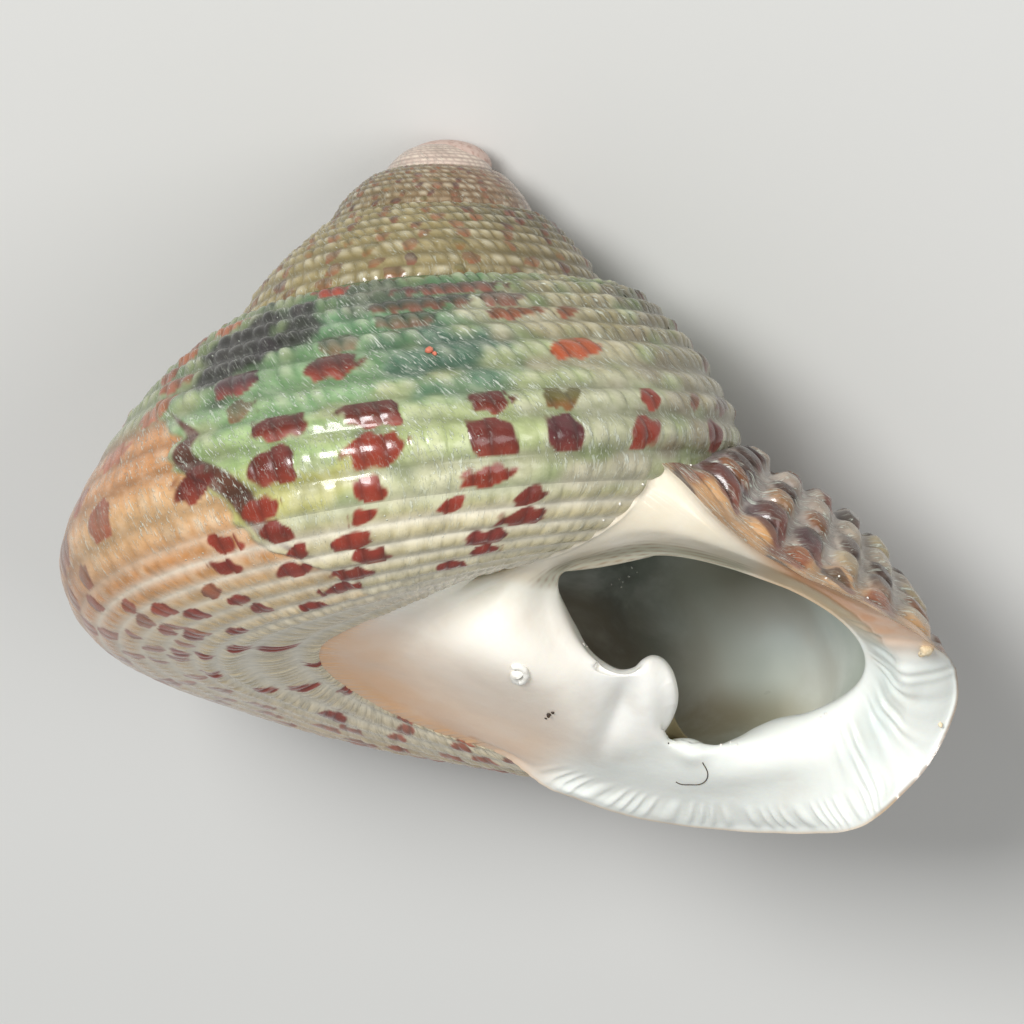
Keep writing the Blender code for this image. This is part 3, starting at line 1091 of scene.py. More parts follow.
# ---- the shell ----
@dataclass
class Whorls:
    """The outer surface of the shell, from the apex to the lip.

    Args:
        spiral: how the shell grew.
        cords: its beaded cords.
        blotches: the blotches on them.
        welt: height of the welt that fills the suture by the lip, mm.
        scar_step: how far the growth since the scar lies below the older, mm.
        foot_from: turn at which the spire's lower stretch starts.
        lip_from: turn at which the lip's own stretch starts.
        under: share of the way down a spire stretch, past 1 under the next whorl.
        arc: length along the whorls up to the lip, mm, for the threads.
        station: height of one station at the lip, mm, for the threads.
    """

    spiral: Spiral = field(default_factory=Spiral)
    cords: Cords = field(default_factory=Cords)
    blotches: tuple = ()
    welt: float = 0.8
    scar_step: float = 0.12
    foot_from: float = -2.0
    lip_from: float = -0.3
    under: float = 1.06
    arc: float = 147.0
    station: float = 1.9

    def bare(self, zone: Callable, v: Array, tau: Array) -> tuple:
        """Return the bare points with their s and t.

        Args:
            zone: the spiral's side or base method.
            v: share of the way down the zone.
            tau: turn of the growth edge.

        Returns:
            Points, s and t.
        """
        s, t = zone(v, tau)
        points = self.spiral.surface(s, t, tau)
        # a welt fills the suture by the lip
        points[..., 2] += self.welt * np.exp(-(s / 0.9) ** 2) * smooth((tau + 0.13) / 0.07)
        return points, s, t

    def point(self, zone: Callable, v: Array, tau: Array) -> tuple:
        """Return the beaded points, with s, t and the reading of the cords.

        Args:
            zone: the spiral's side or base method.
            v: share of the way down the zone.
            tau: turn of the growth edge.

        Returns:
            Points, s, t, and the cords' reading.
        """
        ahead, lower = 0.0004, 0.008
        here, s, t = self.bare(zone, v, tau)
        along = self.bare(zone, v, tau + ahead)[0] - self.bare(zone, v, tau - ahead)[0]
        low = np.maximum(v - lower / 2, 0.0)
        down = self.bare(zone, low + lower, tau)[0] - self.bare(zone, low, tau)[0]
        out = across(along, down)
        height, reading = self.cords.height(self.spiral, s, t, tau)
        # calmer at the suture, at the very lip and on the growth since the scar
        height = height * smooth((s + 0.12) / 0.4) * (0.08 + 0.92 * smooth((-tau - 0.009) / 0.02))
        newer = self.newer(s, -360.0 * t)
        height = height * (1.0 - 0.72 * newer) - self.scar_step * newer
        return here + out * height[..., None], s, t, reading

    @staticmethod
    def spire_tint(s: Array, back: Array) -> Array:
        """Return the ground colour of the spire: olive tan, its early whorls worn pink.

        Args:
            s: station.
            back: degrees back from the lip.

        Returns:
            The colour of each place.
        """
        return coated(
            even(Hue.SPIRE_TAN, s.shape),
            (Hue.SPIRE_STRAW, span(back, 560, 690, 70), 0.8),
            (Hue.SPIRE_OLIVE, span(back, 690, 800, 60) * smooth((3.5 - s) / 2), 0.7),
            (Hue.SPIRE_BROWN, smooth((back - 940) / 160), 0.8),
            (Hue.SPIRE_PINK, smooth((back - 1080) / 70), 1))

    def whorl_tint(self, s: Array, back: Array) -> Array:
        """Return the ground colour of the last whorl: green above, pale below, cream base.

        Args:
            s: station.
            back: degrees back from the lip.

        Returns:
            The colour of each place.
        """
        whorl = coated(even(Hue.SIDE_GREEN, s.shape),
                       (Hue.SHOULDER_GREEN, smooth((4.6 - s) / 2.6), 0.9))
        for cloud in GROUND:
            whorl = blend(whorl, paint(*cloud.tint), cloud.at(s, back))
        base = coated(even(Hue.BASE_BUFF, s.shape), (Hue.BASE_CREAM, smooth((s - 11.5) / 1.5), 1))
        whorl = blend(whorl, base, smooth((s - 8.7) / 0.8))
        rim = smooth((3.9 - 1.1 * np.abs(s - 7.3) - np.abs(back - self.scar(s) - 2.4)) / 1.2)
        whorl = coated(whorl, (Hue.SCAR_MAROON, rim, 0.95))
        # newer growth past the scar: orange and cream
        fresh = coated(
            even(Hue.NEW_ORANGE, s.shape),
            (Hue.NEW_CREAM, hump(s, 7.9, 0.9) * span(back, 238, 285, 14), 0.7),
            (Hue.NEW_BUFF, smooth((s - 9.2) / 2.2), 1),
            (Hue.NEW_GREY, smooth((s - 11.6) / 1.4), 0.8),
            (Hue.NEW_BROWN, smooth((5.0 - s) / 1.2), 0.8))
        newer = smooth((self.torn(s) - back) / 2.0)
        return blend(whorl, fresh, newer * span(s, 4.2, 15.0, 1.2) * smooth((back - 20) / 120))

    def tint(self, s: Array, t: Array, tau: Array, at: dict) -> Array:
        """Return the colour of the outer surface, without its blotches.

        Args:
            s: station.
            t: turn.
            tau: turn of the growth edge.
            at: reading of the cords.

        Returns:
            The colour of each place.
        """
        back = -360.0 * t
        ridge, dome = at["ridge"], at["dome"]
        # the lip's own last growth: purple grey, orange at the very edge
        lip = coated(
            even(Hue.LIP_GREY, s.shape),
            (Hue.LIP_PURPLE, span(back, -5, 24, 8) * smooth((1.9 - s) / 0.7), 0.85),
            (Hue.LIP_STRAW, hump(s, 3.0, 0.8), 0.5))
        near = smooth((100 - back) / 40) * smooth((7.6 - s) / 1.4)
        edge = smooth((tau + 0.032) / 0.016) * smooth((7.0 - s) / 1.2)
        spots = smooth((np.sin(s * 4.2 + 0.6) - 0.1) / 0.6) * smooth((tau + 0.040) / 0.01)
        whorl = coated(
            blend(self.whorl_tint(s, back), lip, near),
            (Hue.EDGE_ORANGE, edge, 0.9),
            (Hue.EDGE_RUST, edge * spots * smooth((-tau - 0.003) / 0.006), 0.85))
        colour = blend(self.spire_tint(s, back), whorl, smooth((560 - back) / 120.0))
        # crests pale, grooves darkened as painted shade; on the base the grooves are white
        low = smooth((s - 8.5) / 0.8) * smooth((back + 20) / 60)
        colour = blend(colour, colour * 0.50, (1 - ridge) * (1 - low) * 0.75)
        # painted shade: darker in the gaps between the beads of a cord
        notch_shade = ridge * (1 - dome) * self.cords.beady(at["cord"], t) * (1 - 0.6 * low)
        colour = blend(colour, colour * 0.55, notch_shade * 0.8)
        colour = coated(colour, (Hue.GROOVE_WHITE, (1 - ridge) * low, 0.75))
        luck = chance(at["number"], at["cord"])
        pale = np.where(back > 430, 0.12 + 0.26 * (luck > 0.5), 0.10 + 0.22 * (luck > 0.6))
        pale = pale * smooth((colour.mean(-1) - 0.02) / 0.10) * (1 - near)
        # by the lip the beads are amber and dark, in lilac grey grooves
        colour = coated(
            colour,
            (Hue.CREST_WHITE, (ridge * dome) ** 2 * pale, 1),
            (Hue.GROOVE_LILAC, near * (1 - ridge * dome) * (1 - edge), 0.6))
        bead = coated(
            even(Hue.BEAD_DARK, s.shape),
            (Hue.BEAD_AMBER, smooth((luck - 0.46) / 0.3), 1),
            (Hue.BEAD_PALE, smooth((luck - 0.84) / 0.06), 1))
        shown = (chance(at["number"], at["cord"], 5) > 0.2) * (1 - edge)
        return blend(colour, bead, near * smooth((ridge * dome - 0.34) / 0.16) * shown * 0.95)

    def newer(self, s: Array, back: Array) -> Array:
        """Return 1 on the side's growth since the scar, where it shows."""
        return (smooth((self.torn(s) - back) / 1.4) * span(s, 3.4, 12.0, 1.6)
                * smooth((back - 150) / 30))

    def torn(self, s: Array) -> Array:
        """Return the scar's ragged line, degrees back from the lip, at station s."""
        return self.scar(s) + (0.5 * np.sin(s * 7.1) + 0.3 * np.sin(s * 12.7 + 1.0))

    @staticmethod
    def scar(s: Array) -> Array:
        """Return how far back from the lip the growth scar runs, degrees, at station s."""
        return 266.5 + 5.0 * (s - 5.5) + 2.5 * hump(s, 5.6, 0.5) - 1.5 * np.sin(s * 2.2)

    def blotched(self, colour: Array, at: dict, back: Array) -> tuple:
        """Lay the blotches over the ground colour.

        Args:
            colour: the ground colour, which is changed.
            at: reading of the cords.
            back: degrees back from the lip.

        Returns:
            The colour, and how far it is covered.
        """
        cover = np.zeros(back.shape)
        per_degree = self.cords.per_turn / 360.0
        # painted shade: blotches are darker in the gaps between beads
        bead = 0.55 + 0.45 * at["dome"]
        for b in self.blotches:
            beads = b.beads * (0.74 if b.cord > 8 else 0.9)
            reach = (0.5 * beads + 0.8) / per_degree
            on = (at["cord"] == b.cord) & (np.abs(back - b.back) < reach)
            if not on.any():
                continue
            off, luck = at["off"][on], float(chance(b.cord, round(b.back)))
            bent = back[on] - b.back - (luck - 0.5) * 3.0 * off
            along = np.abs(bent) * per_degree / (0.5 * beads + 0.25)
            apart = np.abs(off) / (0.82 + 0.25 * luck)
            ragged = 0.36 * (chance(at["number"][on], b.cord) - 0.5)
            wave = 0.20 * np.sin(bent * 1.3 + off * 2.4 + luck * 19)
            ragged = ragged + wave * np.cos(off * 2.6 + luck * 7)
            reached = (along ** 2.1 + apart ** 2.1) ** (1 / 2.1)
            mask = smooth((1.05 + ragged - reached) / 0.22) * b.strength
            deep = paint(*b.tone.value)
            deep = deep + (paint(*Hue.BLOTCH_FADED.value) - deep) * min(max(b.cord - 7, 0) * 0.13, 0.6)
            # painted highlight: a blotch is lighter towards the lower side of its cord
            painted_highlight = deep + (paint(*Hue.BLOTCH_PAINTED_HIGHLIGHT.value) - deep) * 0.30
            tone = blend(np.broadcast_to(deep, mask.shape + (3,)), painted_highlight,
                         smooth(at["off"][on] * 0.9 + 0.1)) * bead[on][:, None]
            colour[on] = colour[on] + (tone - colour[on]) * mask[:, None]
            cover[on] = np.maximum(cover[on], mask)
        return colour, cover

    def fields(self, s: Array, t: Array, tau: Array, at: dict) -> dict:
        """Return the values that the material reads.

        Args:
            s: station.
            t: turn.
            tau: turn of the growth edge.
            at: reading of the cords.

        Returns:
            Values by attribute name.
        """
        back = -360.0 * t
        arc = self.arc * np.exp(self.spiral.swell[0] * tau)
        drop = self.station * s * self.spiral.wide(t)
        lively = 0.45 + 0.55 * smooth((t + 1.6) / 0.3) * smooth((9.6 - s) / 2.5)
        colour, cover = self.blotched(self.tint(s, t, tau, at), at, back)
        cover = np.maximum(cover, hump(s, 2.4, 1.6) * span(back, 262, 290, 8) * 0.9)
        near = smooth((100 - back) / 40) * smooth((7.8 - s) / 0.6)
        bead = at["ridge"] * at["dome"]
        return {
            "tint": rgba(colour),
            "growth": np.stack([arc, drop, np.zeros_like(arc)], -1),
            "bead": bead,
            "threads": lively * (1.0 - 0.80 * cover) * (1.0 + near * (0.7 - 1.1 * bead)),
        }

    def panel(self, name: str, zone: Callable, rows: int, columns: int, since: float,
              until: float, reach: float = 1.0) -> bpy.types.Object:
        """Make one stretch of the outer surface.

        Args:
            name: the piece's name.
            zone: the spiral's side or base method.
            rows: points down the zone.
            columns: points along it.
            since: turn of the first growth edge.
            until: turn of the last.
            reach: share of the way that it goes down, past 1 under the next whorl.

        Returns:
            The piece.
        """
        v, tau = np.meshgrid(np.linspace(0, reach, rows), np.linspace(since, until, columns),
                             indexing="ij")
        points, s, t, at = self.point(zone, v, tau)
        return sheet(name, points, self.fields(s, t, tau, at))

    def build(self) -> list:
        """Make the whorls and the base."""
        spiral = self.spiral
        return [
            self.panel("spire_top", spiral.side, 46, 1100, spiral.start_turn, self.foot_from,
                       self.under),
            self.panel("spire_foot", spiral.side, 64, 880, self.foot_from, -1.0, self.under),
            self.panel("last_whorl", spiral.side, 100, 900, -1.0, self.lip_from),
            self.panel("lip_top", spiral.side, 190, 440, self.lip_from - LAP, 0.0),
            self.panel("base", spiral.base, 96, 960, spiral.base_from, 0.0),
        ]


# ---- the mouth ----
@dataclass(frozen=True)
class Mound:
    """A soft rise or hollow of the porcelain, in the plane that the mouth is seen in.

    Args:
        x: its middle, mm to the right of the apex.
        h: its middle, mm below the apex.
        long: half length, mm.
        wide: half width, mm.
        turn: degrees from level to its length, clockwise.
        rise: how far it stands out, mm; a hollow is negative.
    """

    x: float
    h: float
    long: float
    wide: float
    turn: float
    rise: float

    def at(self, q: Array) -> Array:
        """Return its height over points of the tilted view.

        Args:
            q: points of the view.

        Returns:
            Heights, mm.
        """
        a = math.radians(self.turn)
        x, h = q[..., 0] - self.x, q[..., 1] - self.h
        u = (x * math.cos(a) + h * math.sin(a)) / self.long
        v = (h * math.cos(a) - x * math.sin(a)) / self.wide
        return self.rise * np.exp(-u * u - v * v)


@dataclass
class Mouth:
    """The thick lip, the callus with its funnel and pillar, and the throat behind them.

    The band runs from the shell's edge (share 0) to the edge of the throat, where it rolls over
    (share 1). k counts round it, as on the solid: down the lip, back along the umbilical rim and up
    the callus. The throat's edge is laid out in a view that has the base tilted a little.

    Args:
        whorls: the outer surface that it joins.
        tilt: how far the view is tilted.
        side_steps, base_steps, rim_steps: steps of k on the lip's side, on its base and on the
            umbilical rim; the callus has as many as the base.
        trough, pillar: depth of the funnel's trough and of the pillar, mm; below 0 stands out.
        crest: share at which the band rolls over.
        scallop: share over which the cords' ends fade out.
        rolled: how far it rolls over, degrees.
        outline: for some k, the throat's edge in the view, mm right of the apex and below it.
        away: for some k, its distance from the viewer, mm.
        roll: for some k, the radius of the rolled edge, mm.
        mounds: soft rises and hollows of the band.
        columns: for some columns of the band's grid, the k they lie at.
        rows: rows of that grid.
        reaches: neighbours, in columns, that a pass of the easing looks at.
        passes: how often those passes run.
        hollow: the throat's section, radius and depth, mm.
        hollow_from, hollow_step, hollow_loops: azimuth of its first section, degrees from one to
            the next, and how many there are.
        hollow_grid: rows and columns of the throat's grid.
    """

    whorls: Whorls
    tilt: float = math.radians(9.5)
    side_steps: int = 12
    base_steps: int = 15
    rim_steps: int = 31
    trough: float = 0.9
    pillar: float = -1.3
    crest: float = 0.80
    scallop: float = 0.07
    rolled: float = 150.0
    outline: tuple = (
        (0, 7.0, 12.8), (1, 8.0, 13.0), (2, 9.4, 13.4), (3, 10.8, 13.95), (4, 12.1, 14.6),
        (5, 12.9, 15.1), (6, 13.25, 15.6), (8, 13.42, 16.25), (10, 13.3, 16.85), (12, 12.8, 17.35),
        (14, 12.10, 17.77), (16, 11.40, 18.11), (17, 10.99, 18.11), (18.5, 10.36, 18.21),
        (20, 9.73, 18.52), (21, 9.29, 18.81), (22, 8.85, 18.99), (23, 8.38, 19.22),
        (24, 8.03, 18.99), (25, 7.62, 18.87), (26, 7.06, 18.93), (27, 6.49, 19.25),
        (28, 6.62, 18.99), (29.5, 6.87, 18.68), (31, 7.12, 18.27), (33, 7.28, 17.77),
        (35, 7.28, 17.29), (37, 7.12, 16.73), (38.5, 6.84, 16.35), (40, 6.49, 16.22),
        (41.5, 6.17, 16.35), (43, 5.89, 16.60), (44.5, 5.45, 16.66), (46, 4.98, 16.44),
        (48, 4.54, 16.07), (50, 4.19, 15.53), (52, 4.00, 14.96), (54, 3.81, 14.46),
        (56, 3.56, 14.02), (58, 3.31, 13.80), (59.5, 3.15, 13.67), (61, 3.47, 13.61),
        (62, 4.06, 13.58), (65, 5.01, 13.45), (68, 5.95, 13.26), (70, 6.49, 13.14),
        (71, 6.65, 12.95), (72, 6.84, 12.82))
    away: tuple = ((0, -3.9), (2, -3.4), (4, -1.9), (6, -0.5), (8, 0.2), (10, 0.8), (12, 1.3),
                   (17, 1.9), (22, 2.4), (25, 2.1), (27, 2.4), (30, 1.6), (33, 0.6), (36, -0.1),
                   (41, -0.6), (45, -0.6), (49, -0.8), (53, -1.4), (57, -2.7), (62, -3.5),
                   (68, -3.8), (73, -3.9))
    roll: tuple = ((0, 0.22), (4, 0.30), (8, 0.5), (14, 0.55), (20, 0.5), (23, 0.35), (26, 0.28),
                   (29, 0.32), (33, 0.50), (38, 0.50), (41, 0.45), (44, 0.60), (48, 0.85), (54, 0.80),
                   (59, 0.30), (65, 0.22), (73, 0.22))
    mounds: tuple = (
        Mound(6.45, 17.6, 1.3, 0.6, 80, 0.34), Mound(5.35, 18.0, 1.2, 0.38, 112, -0.26),
        Mound(2.4, 16.2, 3.4, 1.9, 25, 0.40), Mound(-2.9, 16.2, 0.8, 0.4, 40, 0.14),
        Mound(-2.0, 16.9, 1.3, 0.30, 25, -0.10), Mound(7.75, 19.15, 0.55, 0.4, 10, 0.30),
        Mound(4.4, 18.6, 1.4, 0.6, 65, 0.20), Mound(9.9, 19.6, 2.6, 0.7, -8, 0.30),
        Mound(13.9, 17.6, 1.5, 0.45, -55, 0.18))
    hollow: tuple = (
        (8.2, 13.4), (10.4, 12.1), (12.0, 13.2), (13.5, 15.1), (15.0, 17.3), (15.7, 19.5),
        (15.4, 21.1), (13.9, 22.1), (11.0, 22.4), (8.4, 22.3), (6.7, 21.4), (6.0, 19.5), (5.9, 16.8), (6.4, 14.5))
    hollow_from: float = 30.0
    hollow_step: float = 25.0
    hollow_loops: int = 16
    hollow_grid: tuple = (90, 420)
    columns: tuple = ((0, 0), (231, 15), (388, 27), (831, 60), (1200, 73))
    rows: int = 84
    reaches: tuple = (40, 24, 12, 6, 3, 1)
    passes: int = 12

    @property
    def count(self) -> int:
        """Steps once round the band."""
        return self.side_steps + self.base_steps + self.rim_steps + self.base_steps

    def to_view(self, p: Array) -> Array:
        """Return x, height below the apex and depth, in the tilted view, of shell points."""
        h = -(p[..., 2] * math.cos(self.tilt) - p[..., 1] * math.sin(self.tilt))
        return np.stack([p[..., 0], h, p[..., 1]], -1)

    def from_view(self, q: Array) -> Array:
        """Return shell points for points of the tilted view."""
        x, h, d = q[..., 0], q[..., 1], q[..., 2]
        return np.stack([x, d, (-h + d * math.sin(self.tilt)) / math.cos(self.tilt)], -1)

    def rim(self, k: Array, point: Callable) -> Array:
        """Return the edge of the outer surface at step k.

        Args:
            k: step round the mouth.
            point: the whorls' bare or point method.

        Returns:
            Shell points.
        """
        spiral = self.whorls.spiral
        lip_end = self.side_steps + self.base_steps
        rim_end = lip_end + self.rim_steps
        k = np.mod(k, self.count)
        zero = np.zeros_like(k)
        side = point(spiral.side, np.clip(k / self.side_steps, 0, 1), zero)[0]
        lip = point(spiral.base, np.clip((k - self.side_steps) / self.base_steps, 0, 1), zero)[0]
        back = spiral.base_from * np.clip((k - lip_end) / self.rim_steps, 0, 1)
        rim = point(spiral.base, zero + 1.0, back)[0]
        callus = point(spiral.base, np.clip((self.count - k) / self.base_steps, 0, 1),
                       zero + spiral.base_from)[0]
        out = np.where((k < self.side_steps)[..., None], side, lip)
        out = np.where((k > lip_end)[..., None], rim, out)
        return np.where((k > rim_end)[..., None], callus, out)

    def around(self, table: tuple, k: Array) -> Array:
        """Return the curve through a table of (step, values) at step k, closed round the mouth.

        Args:
            table: rows of a step and its values.
            k: steps round the mouth.

        Returns:
            The values at each step.
        """
        keys = np.array(table, float)
        keys = np.vstack([keys, keys[:1]])
        keys[-1, 0] = self.count
        at = np.interp(np.mod(k, self.count), keys[:, 0], np.arange(len(keys)))
        return catmull(keys[:-1, 1:], at, closed=True)

    def throat_edge(self, k: Array) -> Array:
        """Return the edge of the throat at step k, in the tilted view.

        Args:
            k: steps round the mouth.

        Returns:
            Points of the tilted view.
        """
        away = np.array(self.away)
        depth = np.interp(np.mod(k, self.count), away[:, 0], away[:, 1])
        return np.concatenate([self.around(self.outline, k), depth[..., None]], -1)

    def band(self, k: Array, f: Array) -> Array:
        """Return the band at step k, share f: a slope up to its crest, then the rolled edge.

        Args:
            k: steps round the mouth.
            f: shares of the way in.

        Returns:
            Shell points, mm.
        """
        bare = self.to_view(self.rim(k, self.whorls.bare))
        beaded = self.to_view(self.rim(k, self.whorls.point))
        edge = bare + (beaded - bare) * smooth(1.0 - f / self.scallop)[..., None]
        inner = self.throat_edge(k)
        inward = self.around(self.outline, k + 0.12) - self.around(self.outline, k - 0.12)
        inward = np.stack([-inward[..., 1], inward[..., 0]], -1)
        inward /= np.linalg.norm(inward, axis=-1, keepdims=True) + 1e-9
        step = np.mod(k, self.count)
        size = np.interp(step, *np.array(self.roll).T)[..., None]
        crest = inner.copy()
        crest[..., :2] -= inward * size
        crest[..., 2:] -= size
        g = np.clip(f / self.crest, 0, 1)
        funnel = smooth((step - 27) / 10.0) * smooth((60 - step) / 8.0)
        wall = span(step, 60, 72, 4)
        swell = 1.0 - (1.0 - g) ** (1.35 + 0.65 * funnel)
        swell = swell + (g ** 1.7 - swell) * wall
        slope = edge + (crest - edge) * np.stack([g, g, swell], -1)
        share = np.clip((f - self.crest) / (1 - self.crest), 0, 1)[..., None]
        angle = share * math.radians(self.rolled)
        over = np.concatenate([inner[..., :2] - inward * size * (1 - np.sin(angle)),
                               inner[..., 2:] - size * np.cos(angle)], -1)
        q = np.where((f > self.crest)[..., None], over, slope)
        forms = funnel * (self.trough * hump(g, 0.20, 0.18) + self.pillar * hump(g, 0.60, 0.30))
        q[..., 2] += forms * smooth(f / 0.10) * smooth((1.0 - g) / 0.35)
        return self.from_view(q)

    def relief(self, k: Array, f: Array) -> Array:
        """Return how far the band's fine forms stand out from it, mm.

        Args:
            k: steps round the mouth.
            f: shares of the way in.

        Returns:
            Heights, mm.
        """
        k = np.mod(k, self.count)
        wobble = k + 0.22 * np.sin(k * 2.3) + 0.5 * f * np.sin(k * 0.8)
        teeth = np.clip(np.sin(wobble * 2 * math.pi * 1.7), -0.2, 1) * hump(f, 0.10, 0.05)
        ribs = np.sin(wobble * 2 * math.pi * 1.25 + 3 * f) * hump(f, 0.34, 0.22)
        ribs = ribs * (0.6 + 0.4 * np.sin(k * 4.1 + f * 9.0))
        return teeth * 0.08 * span(k, 13, 28, 2) + ribs * 0.07 * span(k, 5, 15, 3)

    def band_tint(self, k: Array, f: Array, q: Array) -> Array:
        """Return the colour of the band at step k, share f, view point q.

        Args:
            k: steps round the mouth.
            f: shares of the way in.
            q: points of the tilted view.

        Returns:
            The colour of each place.
        """
        k = np.mod(k, self.count)
        x, h = q[..., 0], q[..., 1]
        upper = smooth((7.5 - k) / 3.0) * smooth((k + 1.0) / 3.5)
        funnel = span(k, 29, 60, 4)
        # peach of the lower left rim, partly painted shade of the funnel's hollow
        peach_and_shade = smooth((0.9 * (h - 15.6) - 0.42 * (x - 1.0)) / 2.6) * smooth((5.5 - x) / 3.0)
        wall = smooth((k - 57.5) / 2.5) + smooth((1.2 - k) / 1.2)
        streak = np.sin(f * 74 + 2.0 * np.sin(k * 0.7)) * 0.5 + 0.5
        streak = streak * (0.4 + 0.6 * np.sin(k * 1.9 + f * 31) ** 2)
        return coated(
            even(Hue.PORCELAIN, k.shape),
            (Hue.BEVEL_WHITE, span(k, 5, 29, 4), 0.9),
            (Hue.BEVEL_BLUE, span(k, 6, 14, 3) * hump(f, 0.45, 0.25), 0.6),
            # the brown edge of the lip
            (Hue.BEVEL_UMBER, span(k, 5, 14, 2) * smooth((0.045 - f) / 0.04), 0.9),
            (Hue.BEVEL_BISCUIT, span(k, 12, 30, 2) * smooth((0.03 - f) / 0.03), 0.7),
            # peach inside the upper lip, orange at its edge
            (Hue.UPPER_PEACH, upper, 0.9),
            (Hue.UPPER_ORANGE, upper * smooth((0.40 - f) / 0.30) * smooth((k - 0.8) / 2), 0.85),
            # funnel: peach towards its lower left rim, partly painted shade of its hollow; grey white above, a
            # painted shadow under the overhanging base; white at the pillar
            (Hue.FUNNEL_WHITE, funnel, 0.95),
            (Hue.FUNNEL_PEACH_AND_SHADE, funnel * peach_and_shade, 0.9),
            (Hue.FUNNEL_ORANGE, funnel * peach_and_shade * smooth((0.20 - f) / 0.16), 0.8),
            (Hue.FUNNEL_PAINTED_SHADOW, funnel * smooth((15.2 - h) / 1.2), 0.8),
            (Hue.PILLAR_WHITE, funnel * smooth((x - 3.6) / 1.6), 0.8),
            # the wall against the whorl before: a cream ridge, then streaks
            (Hue.WALL_CREAM, wall, 1),
            (Hue.STREAK_BROWN, wall * span(f, 0.50, 0.95, 0.2) * streak, 0.8),
            (Hue.STREAK_GREEN, wall * span(f, 0.55, 0.9, 0.2) * (1 - streak), 0.6))

    def relaxed(self, points: Array, k: Array, f: Array) -> Array:
        """Return the band's points with creases eased, like melted porcelain.

        Args:
            points: points by step and share; the first and last step are the same place.
            k: steps.
            f: shares.

        Returns:
            The eased points.
        """
        k = np.mod(k, self.count)
        free = span(k, 29, 59, 5) + smooth((k - 64) / 4) + smooth((3 - k) / 2)
        soft = 0.35 + 0.65 * np.clip(free, 0, 1)
        hold = 0.97 + 0.05 * span(k, 52, 56, 4) - 0.11 * span(k, 22, 49, 7)
        free = (soft * smooth((f - 0.05) / 0.12) * smooth((hold - f) / 0.16))[:-1, 1:-1, None]
        ring = points[:-1].copy()
        for reach in self.reaches * self.passes:
            beside = (np.roll(ring, reach, axis=0) + np.roll(ring, -reach, axis=0))[:, 1:-1] * 0.5
            up_down = (ring[:, :-2] + ring[:, 2:]) * 0.5
            eased = ring[:, 1:-1] * 0.4 + beside * 0.25 + up_down * 0.35
            ring[:, 1:-1] += (eased - ring[:, 1:-1]) * free
        return np.concatenate([ring, ring[:1]])

    def build(self) -> list:
        """Make the band and the throat."""
        column, step = np.array(self.columns).T
        spread = np.interp(np.arange(column[-1] + 1), column, step)
        k, f = np.meshgrid(spread, np.linspace(0, 1, self.rows), indexing="ij")
        points = self.relaxed(self.band(k, f), k, f)
        out = across(np.gradient(points, axis=1), np.gradient(points, axis=0))
        forms = sum(mound.at(self.to_view(points)) for mound in self.mounds)
        points = points + out * (forms * smooth(f / 0.15) * smooth((0.92 - f) / 0.2))[..., None]
        points = points + out * self.relief(k, f)[..., None]
        tint = self.band_tint(k, f, self.to_view(points))
        band = sheet("mouth_band", points, {"tint": rgba(tint)}, around=True)
        return [band, self.deep()]

    def deep(self) -> bpy.types.Object:
        """Make the throat, which follows the spiral inwards."""
        spiral = self.whorls.spiral
        rows, columns = self.hollow_grid
        steps = np.linspace(0, self.count, columns)
        edge = self.to_view(self.band(steps, np.ones_like(steps)))
        length = np.linalg.norm(np.roll(edge, -1, axis=0) - edge, axis=1)
        share = (np.cumsum(length) - length) / length.sum()
        section = catmull(np.array(self.hollow), share * len(self.hollow), closed=True)
        loops = [self.from_view(edge)]
        for c in range(self.hollow_loops):
            t = (spiral.lip_azimuth - (self.hollow_from + self.hollow_step * c)) / 360.0
            # the first loop keeps behind the pillar
            behind = 1.9 * smooth((8.6 - section[:, 0]) / 2.4) if c == 0 else 0.0
            rz = np.stack([(section[:, 0] - behind) * spiral.wide(t),
                           section[:, 1] * spiral.deep(t) - spiral.apex_offset], -1)
            loops.append(spiral.place(rz, np.full(columns, t)))
        loops = np.stack(loops)
        at = np.linspace(0, self.hollow_loops, rows)
        points = catmull(loops.reshape(len(loops), -1), at).reshape(rows, columns, 3)
        depth = np.broadcast_to(at[:, None], points.shape[:2])
        flank = span(steps, 24, 61, 3) * smooth((4.0 - depth) / 1.5) * smooth(depth / 0.15)
        x, h = self.to_view(points)[..., :2].transpose(2, 0, 1)
        # painted light: a pale patch where light falls on the right of the throat
        pearl = np.exp(-((x - 11.4) / 2.4) ** 2 - ((h - 15.2) / 1.5) ** 2)
        colour = coated(
            even(Hue.NACRE, depth.shape),
            (Hue.NACRE_EDGE, smooth((0.8 - depth) / 0.8), 0.6),
            # painted shade: greyer deeper into the throat
            (Hue.NACRE_DEPTH_SHADE, smooth((depth - 3.0) / 6.0), 0.7),
            # dark behind the pillar, where the light doesn't reach
            (Hue.NACRE_DARK, flank, 0.92),
            (Hue.NACRE_SHADE, smooth((8.6 - x) / 3.2) * smooth((18.2 - h) / 2.0), 0.85),
            (Hue.NACRE_PAINTED_LIGHT, pearl, 0.7),
            (Hue.NACRE_TAN, smooth((h - 17.0) / 1.4) * smooth((12.5 - x) / 2), 0.7))
        # lowered in the painted shade behind the pillar, so the material keeps it dark
        pearly = np.broadcast_to(1.0 - 0.9 * flank, depth.shape)
        return sheet("throat", np.swapaxes(points, 0, 1),
                     {"tint": rgba(np.swapaxes(colour, 0, 1)), "pearly": pearly.T}, around=True)


